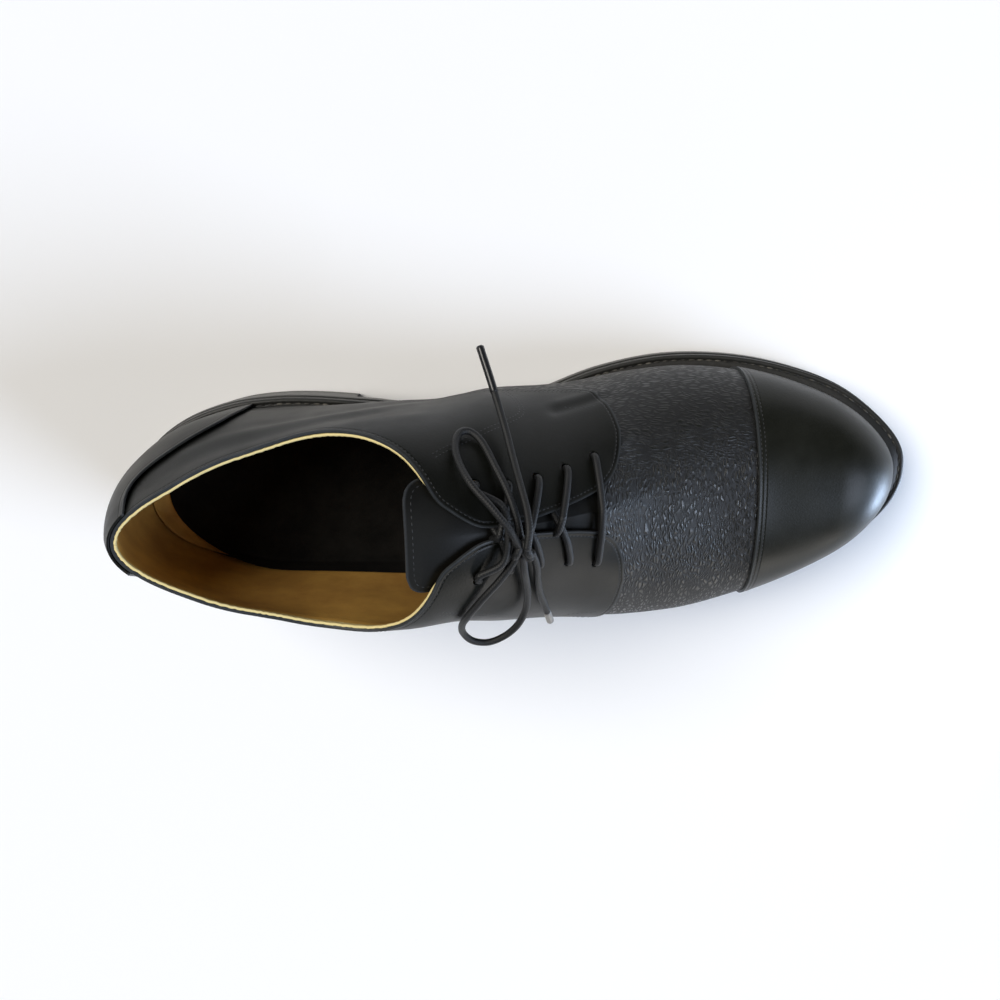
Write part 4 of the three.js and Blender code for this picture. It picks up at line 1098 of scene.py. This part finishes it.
# Vamp: grained calf from under the cap back to under the quarters' front edge, where it is sewn. The mouth
# for the tongue is cut out of it.
STATION_CAP, THROAT_END, VAMP_BACK = 0.774, 0.568, 0.4
VAMP_LAP, VAMP_MOUTH, MOUTH_SWEEP, CAP_LAP = 8.0, 9.0, 34.0, 4.0
QUARTER_FRONT = {side: side_line(side, QUARTER_EDGE, INSTEP_HEIGHT) for side in (1, -1)}


def seam_station(v):
    """Where the quarters' front edge crosses a line along the vamp"""
    found = np.empty_like(v)
    for side in (1, -1):
        line = QUARTER_FRONT[side]
        reached = np.minimum.accumulate(np.abs(line[:, 1]))
        order = np.argsort(reached, kind="stable")
        own = np.interp(np.abs(v), reached[order], station(line[:, 0])[order])
        found = np.where(v * side >= 0, own, found)
    return found


MOUTH_V = np.linspace(-1, 1, 201)
MOUTH_GIRTH = girth(np.full(201, share_of(THROAT_END * SHOE_LENGTH)), MOUTH_V)
# rows of the vamp, even round the shoe at its middle
ROWS_B = np.linspace(0, 1, 801)
middle_girths = (-GIRTHS[-1][len(GIRTH_S) // 2, -1], 0.0, GIRTHS[1][len(GIRTH_S) // 2, -1])
ROWS_V = v_at_girth(share_of(0.5 * SHOE_LENGTH), np.interp(ROWS_B, (0, 0.5, 1), middle_girths))


def vamp_sheet(a, b):
    v = np.interp(b, ROWS_B, ROWS_V)
    front = STATION_CAP * SHOE_LENGTH + CAP_LAP
    mouth = smooth((np.abs(np.interp(v, MOUTH_V, MOUTH_GIRTH)) - VAMP_MOUTH) / MOUTH_SWEEP)
    back = np.minimum(seam_station(v) - VAMP_LAP, VAMP_BACK * SHOE_LENGTH)
    back = THROAT_END * SHOE_LENGTH + (back - THROAT_END * SHOE_LENGTH) * mouth
    return np.stack([share_of(back + (front - back) * a), v], axis=1)


mouth_line = vamp_sheet(np.zeros(60), np.linspace(0.46, 0.54, 60))
vamp = leather("vamp", (150, 200), vamp_sheet, 0.0, [mouth_line], 1.2)
dress(vamp, grained_calf, "grained_leather", "upper")

# Toe cap: smooth calf over a hardened puff, lasted over the vamp's front, its back edge folded under and
# sewn down with two rows of stitches
cap_edge = np.stack([np.full(300, share_of(STATION_CAP * SHOE_LENGTH)), np.linspace(-1, 1, 300)], axis=1)
cap_lift = CAP_THICKNESS + 0.05


def cap_sheet(a, b):
    start = share_of(STATION_CAP * SHOE_LENGTH)
    return np.stack([start + (1 - start) * a, 2 * b - 1], axis=1)


cap = leather("toe_cap_leather", (110, 170), cap_sheet, cap_lift, [cap_edge], CAP_THICKNESS, folds=False)
dress(cap, cap_calf, "smooth_leather", "toe_cap")

# Quarters: smooth calf, laid over the vamp, open at the throat and sewn down along their front. One row of
# stitches follows the collar and the facing, two the front edge, two more close the eyestay, and a short bar
# tack holds the corner that the foot pulls on.
EYESTAY = table(
    "at top",
    (0.467, 0.496), (0.479, 0.573), (0.484, 0.641), (0.467, 0.709), (0.438, 0.786), (0.401, 0.863),
    (0.382, 0.91),
)
BAR_TACK = table("at top", (0.536, 0.547), (0.556, 0.535), (0.576, 0.521))


def between_lines(bottom, top, reach):
    """Sheet of leather between a lower and an upper edge, in columns straight down the shoe's side"""
    lines = [np.maximum.accumulate(bottom, axis=0)[:, 0], np.maximum.accumulate(top, axis=0)[:, 0]]
    s = np.linspace(0, reach, 3000)
    low = np.interp(s, lines[0] + 1e-9 * np.arange(len(bottom)), bottom[:, 1])
    high = np.interp(s, lines[1] + 1e-9 * np.arange(len(top)), top[:, 1])
    walked = sum(walk_along(places_of(np.stack([s, v], axis=1))) for v in (low, high))
    walked /= walked[-1]

    def sheet(a, b):
        own = np.interp(a, walked, s)
        under, over = girth(own, np.interp(own, s, low)), girth(own, np.interp(own, s, high))
        return np.stack([own, v_at_girth(own, under + (over - under) * b)], axis=1)

    return sheet


def foot_line(side, end):
    return np.stack([np.linspace(0, end, 200), np.full(200, float(side))], axis=1)


seam_stitches = bmesh.new()
COLLAR_ROW_START, SEAM_CORNER = 0.056, (0.566, 0.42)
for side, word in ((1, "medial"), (-1, "lateral")):
    top_line = joined(collar_line(side), facing_line(side), corner=5.0)
    edge_line = joined(top_line, QUARTER_FRONT[side][::-1])
    nose = int(np.argmax(edge_line[:, 0]))
    top, seam = edge_line[: nose + 1], edge_line[nose:]
    bottom = np.vstack([foot_line(side, seam[-1, 0]), seam[::-1]])
    sheet = between_lines(bottom, top, edge_line[nose, 0])
    quarter = leather(
        f"quarter_{word}", (250, 90), sheet, QUARTER_STEP, [top, seam], QUARTER_THICKNESS, inside_out=side > 0
    )
    dress(quarter, quarter_calf, "smooth_leather")
    away = places_of(seam)[:, (0, 2)] - (SEAM_CORNER[0] * SHOE_LENGTH, SEAM_CORNER[1] * INSTEP_HEIGHT)
    corner = nose + int(np.argmin(np.linalg.norm(away, axis=1)))
    start = int(np.argmax(station(edge_line[:, 0]) > COLLAR_ROW_START * SHOE_LENGTH))
    rows = [(edge_line[start:corner], 1.7)] + [(edge_line[corner:], distance) for distance in QUARTER_SEAMS]
    eyestay = side_line(side, EYESTAY, INSTEP_HEIGHT)
    rows += [(eyestay, 0.8), (eyestay, -0.8), (side_line(side, BAR_TACK, INSTEP_HEIGHT), 0.0)]
    for line, distance in rows:
        line, out = inset_line(line, side * distance, QUARTER_STEP, folds=True)
        stitch_row(seam_stitches, line, out, STITCH_PITCH, STITCH_THREAD)
for distance in CAP_SEAMS:
    line, out = inset_line(cap_edge, -distance, cap_lift)
    stitch_row(seam_stitches, line, out, STITCH_PITCH, STITCH_THREAD)
seam_stitching = finished("seam_stitching", seam_stitches)
black_thread, tree, shader = finish_of("waxed polyester thread", 0.45)
place = node(tree, "ShaderNodeTexCoord").outputs["Object"]
bloom = node(tree, "ShaderNodeTexNoise", Vector=place, Scale=500.0, Detail=3.0)
tone = node(tree, "ShaderNodeValToRGB", tones=((0.0, "#0e0f10"), (1.0, "#2c2e30")), _0=bloom)
feed(shader, Base_Color=tone)
dress(seam_stitching, black_thread, "thread")

# Heel counter: a patch of the same calf over the stiffened back, laid on both quarters, its edge sewn with
# one row of stitches, and with a second one low down. It is thinned towards the collar.
COUNTER_LIFT = QUARTER_STEP + COUNTER_THICKNESS
counter_sheets = {}
counter_fronts = {}
for side in (1, -1):
    edge_line = side_line(side, COUNTER_EDGE, BACK_HEIGHT)[::-1]
    collar = collar_line(side)
    gaps = np.linalg.norm(places_of(collar)[:, None] - places_of(edge_line)[None], axis=2)
    i, j = np.unravel_index(np.argmin(gaps), gaps.shape)
    top, front = collar[: i + 1], np.vstack([collar[i], edge_line[j:]])
    bottom = np.stack([np.linspace(0, front[-1, 0], 60), np.full(60, float(side))], axis=1)
    back = np.stack([np.zeros(60), np.linspace(side, top[0, 1], 60)], axis=1)
    counter_fronts[side] = front
    counter_sheets[side] = stretched_between(
        even_line(bottom, 80), even_line(top, 80), even_line(back, 100), even_line(front[::-1], 100)
    )


def counter_sheet(a, b):
    inner = a >= 0.5
    reach = np.abs(2 * a - 1)
    return np.where(inner[:, None], counter_sheets[1](reach, b), counter_sheets[-1](reach, b))


counter_edges = list(counter_fronts.values())
counter = leather(
    "heel_counter_leather", (120, 90), counter_sheet, COUNTER_LIFT, counter_edges, COUNTER_THICKNESS,
    folds=False, skive=0.6,
)
dress(counter, quarter_calf, "smooth_leather", "heel_counter")
counter_stitches = bmesh.new()
for side in (1, -1):
    front = even_line(counter_fronts[side], 200)[6:]
    for edge_line, distance in ((front, 1.5), (front[len(front) // 3 :], 3.0)):
        line, out = inset_line(edge_line, side * distance, COUNTER_LIFT)
        stitch_row(counter_stitches, line, out, STITCH_PITCH, STITCH_THREAD)
counter_stitching = finished("counter_stitching", counter_stitches)
dress(counter_stitching, black_thread, "thread")

# Tongue: one calf flap under the facings, sewn to the vamp's mouth, its free end rounded and its rim sewn
# with one row
TONGUE_LIFT, TONGUE_THICKNESS, TONGUE_HALF, TONGUE_ROUND = -WALL - GAP, 1.8, 20.0, 6.0
TONGUE_END, TONGUE_ROOT = 0.352, 0.65


def tongue_place(x, width):
    side = np.where(width < 0, -1.0, 1.0)
    s_in, v_in = v_at_width(1, x, np.abs(width))
    v_out = v_at_width(-1, x, np.abs(width))[1]
    return np.stack([s_in, np.where(side > 0, v_in, v_out)], axis=1)


def tongue_sheet(a, b):
    x = TONGUE_END * SHOE_LENGTH + (TONGUE_ROOT - TONGUE_END) * SHOE_LENGTH * a
    into = np.clip(1 - (x - TONGUE_END * SHOE_LENGTH) / TONGUE_ROUND, 0, 1)
    half = TONGUE_HALF - TONGUE_ROUND * (1 - np.sqrt(1 - into**2))
    return tongue_place(x, half * (2 * b - 1))


outer_rim = tongue_sheet(np.linspace(1, 0, 120), np.zeros(120))
end_rim = tongue_sheet(np.zeros(60), np.linspace(0, 1, 60))
inner_rim = tongue_sheet(np.linspace(0, 1, 120), np.ones(120))
rim = np.vstack([outer_rim, end_rim, inner_rim])
tongue = leather("tongue_leather", (100, 44), tongue_sheet, TONGUE_LIFT, [rim], TONGUE_THICKNESS, folds=False)
tongue_calf = calf_finish("box calf, tongue", "#0c0c0a", "#141411", 0.55, ())
dress(tongue, tongue_calf, "smooth_leather", "tongue")
tongue_stitches = bmesh.new()
line, out = inset_line(rim[30:-30], -2.5, TONGUE_LIFT)
stitch_row(tongue_stitches, line, out, 2.2, 0.4)
tongue_stitching = finished("tongue_stitching", tongue_stitches)
dress(tongue_stitching, black_thread, "thread")

# Lining: undyed sheepskin, glued inside the quarters and folded level with the collar. It is cream where the
# rim is rubbed, and wear has darkened it to a golden tan inside.
lining_skin, tree, shader = finish_of("undyed sheepskin", 0.75, specular=0.3)
place = node(tree, "ShaderNodeTexCoord").outputs["Object"]
stain = node(tree, "ShaderNodeTexNoise", Vector=place, Scale=28.0, Detail=5.0, Roughness=0.6)
speck = node(tree, "ShaderNodeTexNoise", Vector=place, Scale=520.0, Detail=3.0)
worn_tan = node(tree, "ShaderNodeValToRGB", tones=((0.35, "#a5783a"), (0.68, "#d6a754")), _0=stain)
edge = node(tree, "ShaderNodeAttribute", {"attribute_name": "edge"}).outputs["Fac"]
ragged = node(tree, "ShaderNodeMath", {"operation": "MULTIPLY_ADD"}, _0=speck, _1=1.6, _2=edge)
pale = node(tree, "ShaderNodeMapRange", SMOOTH_STEP, _0=ragged, _1=3.6, _2=2.0)
tone = node(
    tree, "ShaderNodeMix", {"data_type": "RGBA"}, _0=pale, _6=worn_tan, _7=linear("#e9d79a")
)
bump = node(tree, "ShaderNodeBump", Height=speck, Strength=0.4, Distance=0.00015)
feed(shader, Base_Color=tone.outputs[2], Normal=bump)
LINING_THICKNESS = 0.85
LINING_BACK = 3.0
LINING_END = 0.585
for side, word in ((1, "medial"), (-1, "lateral")):
    collar = collar_line(side)
    top = joined(collar, facing_line(side, LINING_BACK), corner=5.0)
    end = share_of(LINING_END * SHOE_LENGTH)
    sheet = between_lines(foot_line(side, end), top[top[:, 0] < end], end)
    rim_places = places_of(even_line(collar, 400))

    def surface(a, b, sheet=sheet, rim_places=rim_places):
        s, v = sheet(a, b).T
        away = nearest(places_of(np.stack([s, v], axis=1)), rim_places)
        fray = 0.16 * np.sin(away * 2.1 + s * 900) * np.sin(s * 2300 + v * 70) * np.exp(-away / 1.5)
        return skin(s, v, -0.05 - 0.6 * smooth(away / 5.0) + fray)[0]

    def marks(a, b, sheet=sheet, rim_places=rim_places):
        return {"edge": nearest(places_of(sheet(a, b)), rim_places)}

    lining = bent_grid(f"lining_{word}", 200, 90, surface, marks=marks, inside_out=side > 0)
    walled(lining, LINING_THICKNESS)
    dress(lining, lining_skin, "lining")

# Sock: black suede glued over the tan insole. It turns up against the lining along both sides and stops
# short of the back of the heel, where the insole shows. Its nap is matt and takes no shine.
MARGIN_INSET, SOCK_INSET, SOCK_START, SOCK_END = 1.4, 1.9, 13.6, 288.0
SOCK_THICKNESS, SOCK_CLIMB, SOCK_FLAT = 0.5, 0.085, 0.86


def insole_top(x):
    return welt_bottom(x) + INSOLE_THICKNESS


def insole_surface(a, b):
    start, end = LAST_BACK + BACK_TUCK_FOOT + MARGIN_INSET, LAST_TIP - MARGIN_INSET
    x = start + (end - start) * (1 - np.cos(np.pi * a)) / 2
    across = -np.cos(np.pi * b)
    half = (foot_half(across > 0, x) - MARGIN_INSET) * end_round(x, start, end)
    rim = np.minimum((1 - np.abs(across)) * half, x - start)
    rise = 4.5 * np.exp(-((rim / 3.0) ** 2)) * (1 - smooth((x - start - 4) / 24))
    return np.stack([x, half * across, insole_top(x) + rise], axis=1)


def sock_surface(a, b):
    x = SOCK_START + (SOCK_END - SOCK_START) * (1 - np.cos(np.pi * a)) / 2
    across = 2 * b - 1
    reach = np.abs(across)
    sign = np.where(across < 0, -1.0, 1.0)
    half = (foot_half(across > 0, x) - SOCK_INSET) * end_round(x, SOCK_START, SOCK_END)
    flat = np.minimum(reach / SOCK_FLAT, 1)
    climb = np.clip((reach - SOCK_FLAT) / (1 - SOCK_FLAT), 0, 1) * smooth((x - SOCK_START) / 40)
    s = share_of(x)
    wall = skin(s, sign * (1 - SOCK_CLIMB * climb), -WALL - 0.3)[0] - skin(s, sign, -WALL - 0.3)[0]
    high = insole_top(x) + SOCK_THICKNESS + 0.4 * (1 - flat**2)
    return np.stack([x, sign * half * flat, high], axis=1) + wall


def insole_marks(a, b):
    """The insole is dark with wear all over, as the lining is far from its rim"""
    return {"edge": np.full(len(a), 9.0)}


insole_leather = bent_grid("insole_margin", 130, 70, insole_surface, marks=insole_marks)
dress(insole_leather, lining_skin, "lining", "insole")
sock = bent_grid("sock_suede", 130, 100, sock_surface)
suede, tree, shader = finish_of("napped suede", 0.95, specular=0.15)
place = node(tree, "ShaderNodeTexCoord").outputs["Object"]
nap = node(tree, "ShaderNodeTexNoise", Vector=place, Scale=90.0, Detail=6.0, Roughness=0.7)
tone = node(tree, "ShaderNodeValToRGB", tones=((0.35, "#0d0d0c"), (0.7, "#1c1b19")), _0=nap)
fibre = node(tree, "ShaderNodeTexNoise", Vector=place, Scale=2200.0, Detail=2.0)
bump = node(tree, "ShaderNodeBump", Height=fibre, Strength=0.5, Distance=0.0002)
feed(shader, Base_Color=tone, Normal=bump)
dress(sock, suede, "sock")

# Lace across the throat: the cord comes up through each punched hole, lies over the facing and goes down
# under the opposite one. The front pair holds one straight bar.
EYELET_PAIRS, EYELET_DIAMETER, EYELET_INSET = 5, 3.6, 14.0
STATION_EYELET_FRONT, STATION_EYELET_BACK = 0.564, 0.425
PITCH = (STATION_EYELET_FRONT - STATION_EYELET_BACK) * SHOE_LENGTH / (EYELET_PAIRS - 1)
ON_QUARTER = QUARTER_STEP + 0.15 + LACE_DIAMETER / 2


def facing_half(x):
    return THROAT_GAP * read(FACING, "half", x)


def on_quarter(side, x, distance, lift):
    """A place a given way down from the ridge along the leather, lifted off it"""
    ways = side * np.linspace(0, 1 - TUCK_SHARE, 160)
    line = last_point(x, ways)
    walked = walk_along(line)
    v = np.interp(distance, walked, ways)
    places, out = skin(np.array([share_of(x)]), np.array([v]), lift)
    return places[0], out[0]


def eyelet(side, pair):
    x = STATION_EYELET_FRONT * SHOE_LENGTH - pair * PITCH
    return x, float(facing_half(x)) + EYELET_INSET


def strand(side, pair, back, cross_lift, beyond):
    """From inside the shoe up through an eyelet, over the facing and the ridge, down under the other side"""
    x, far = eyelet(side, pair)
    edge_share = float(facing_half(x)) / far
    stops = [(1.0, -3.2), (1.0, -0.6), (0.985, 1.2), (0.93, ON_QUARTER - 0.3)]
    stops += [(share, ON_QUARTER) for share in (0.8, 0.6, min(0.42, edge_share + 0.16))]
    stops += [(edge_share * 0.6, 0.5 * (ON_QUARTER + cross_lift)), (0.02, cross_lift)]
    route = [on_quarter(side, x - back * (1 - t) ** 1.5, far * t, lift)[0] for t, lift in stops]
    if beyond:
        for ratio, lift in ((0.7, cross_lift - 0.8), (1.25, -0.6), (1.6, -1.0)):
            t = edge_share * ratio
            route.append(on_quarter(-side, x - back * (1 + t) ** 1.5, far * t, lift)[0])
    return route


crossings = {}
front = strand(1, 0, -1.0, ON_QUARTER - 0.5, False) + strand(-1, 0, -1.0, ON_QUARTER - 0.5, False)[::-1][1:]
crossings["lace_bar_front"] = (front, "lace_bar_1")
for pair in (1, 2, 3):
    for side, word, lift in ((1, "medial", 2.6), (-1, "lateral", 0.2)):
        route = strand(side, pair, 0.35 * PITCH, lift, True)
        crossings[f"lace_cross_{pair + 1}_{word}"] = (route, f"lace_cross_{pair + 1}")
OVER_CROSSING = ON_QUARTER + LACE_DIAMETER + 0.5
top_x, top_far = eyelet(1, 4)
top_route = {}
for side in (1, -1):
    first = strand(side, 4, -1.0, ON_QUARTER, False)[:5]
    first.append(on_quarter(side, top_x + 0.6 * PITCH, 0.45 * top_far, OVER_CROSSING)[0])
    top_route[side] = first
middle = on_quarter(1, top_x + 0.76 * PITCH, 0.3, OVER_CROSSING)[0]
crossings["lace_top_pair"] = (top_route[1] + [middle] + top_route[-1][::-1], "lace_top_5")
for name, (route, solid) in crossings.items():
    piece = tube(name, curve_through(route, LACE_SPACING), LACE_DIAMETER / 2)
    dress(piece, waxed_cotton, "lace", solid)

# Eyelets: plain holes of 3.6 mm, punched through the facings, the vamp and, a little wider, the lining. They
# have no metal ring.
LINING_HOLE = 1.35
for side, word in ((1, "medial"), (-1, "lateral")):
    for piece_name in (f"quarter_{word}", f"lining_{word}", "vamp"):
        piece = bpy.data.objects[piece_name]
        mesh = bmesh.new()
        mesh.from_mesh(piece.data)
        for pair in range(EYELET_PAIRS):
            x, far = eyelet(side, pair)
            centre, out = on_quarter(side, x, far, QUARTER_STEP)
            centre, out = Vector(metres(centre)), Vector(out)
            radius = EYELET_DIAMETER / 2000 * (LINING_HOLE if piece_name.startswith("lining") else 1)

            def away_of(place):
                away = place - centre
                return away - away.dot(out) * out

            close = [f for f in mesh.faces if (f.calc_center_median() - centre).length < radius + 0.003]
            inside = [f for f in close if away_of(f.calc_center_median()).length < radius]
            bmesh.ops.delete(mesh, geom=inside, context="FACES")
            for vert in mesh.verts:
                if vert.is_boundary and (vert.co - centre).length < radius + 0.003:
                    away = away_of(vert.co)
                    if away.length < 2 * radius:
                        vert.co += away.normalized() * (radius - away.length)
        mesh.to_mesh(piece.data)
        mesh.free()

# Floor and light: white paper under the shoe, daylight from a window low beyond the toe's outer side, and a
# broad sky light from behind the heel that falls into the shoe
floor_mesh = bmesh.new()
bmesh.ops.create_grid(floor_mesh, x_segments=1, y_segments=1, size=6)
bmesh.ops.translate(floor_mesh, verts=floor_mesh.verts, vec=(0, 0, -0.0001))
floor = finished("floor", floor_mesh)
paper, tree, shader = finish_of("white paper", 0.9, specular=0.1)
feed(shader, Base_Color=linear("#f8f8f8"))
floor.data.materials.append(paper)
bpy.context.scene.view_settings.view_transform = "Standard"
world = bpy.data.worlds.new("room")
bpy.context.scene.world = world
world.use_nodes = True
room_light = world.node_tree.nodes["Background"]
feed(room_light, Color=linear("#e8eef8"), Strength=0.1)


def lamp(name, kind, azimuth, elevation, power, colour, reach=1.0, aim=(0.03, 0, 0.05), **settings):
    """A light that shines on a place of the shoe from a direction, in degrees, and a distance"""
    data = bpy.data.lights.new(name, kind)
    data.energy = power
    data.color = linear(colour)[:3]
    for word, value in settings.items():
        setattr(data, word, value)
    made = bpy.data.objects.new(name, data)
    bpy.context.scene.collection.objects.link(made)
    turn, rise = math.radians(azimuth), math.radians(elevation)
    way = Vector((math.cos(rise) * math.cos(turn), math.cos(rise) * math.sin(turn), math.sin(rise)))
    made.location = reach * way + Vector(aim)
    made.rotation_euler = way.to_track_quat("Z", "Y").to_euler()
    return made


lamp("sky", "SUN", 150, 50, 2.7, "#fffaf2", angle=math.radians(36))
lamp("window", "SUN", -25, 36, 2.2, "#dce9ff", angle=math.radians(32))
lamp("side_window", "AREA", -60, 3, 1.2, "#f7f1e8", shape="RECTANGLE", size=0.4, size_y=0.12)
lamp(
    "toe_window", "AREA", -22, -14, 0.2, "#c8e0ff", reach=0.12, aim=(0.145, -0.01, 0.046),
    shape="RECTANGLE", size=0.05, size_y=0.03,
)
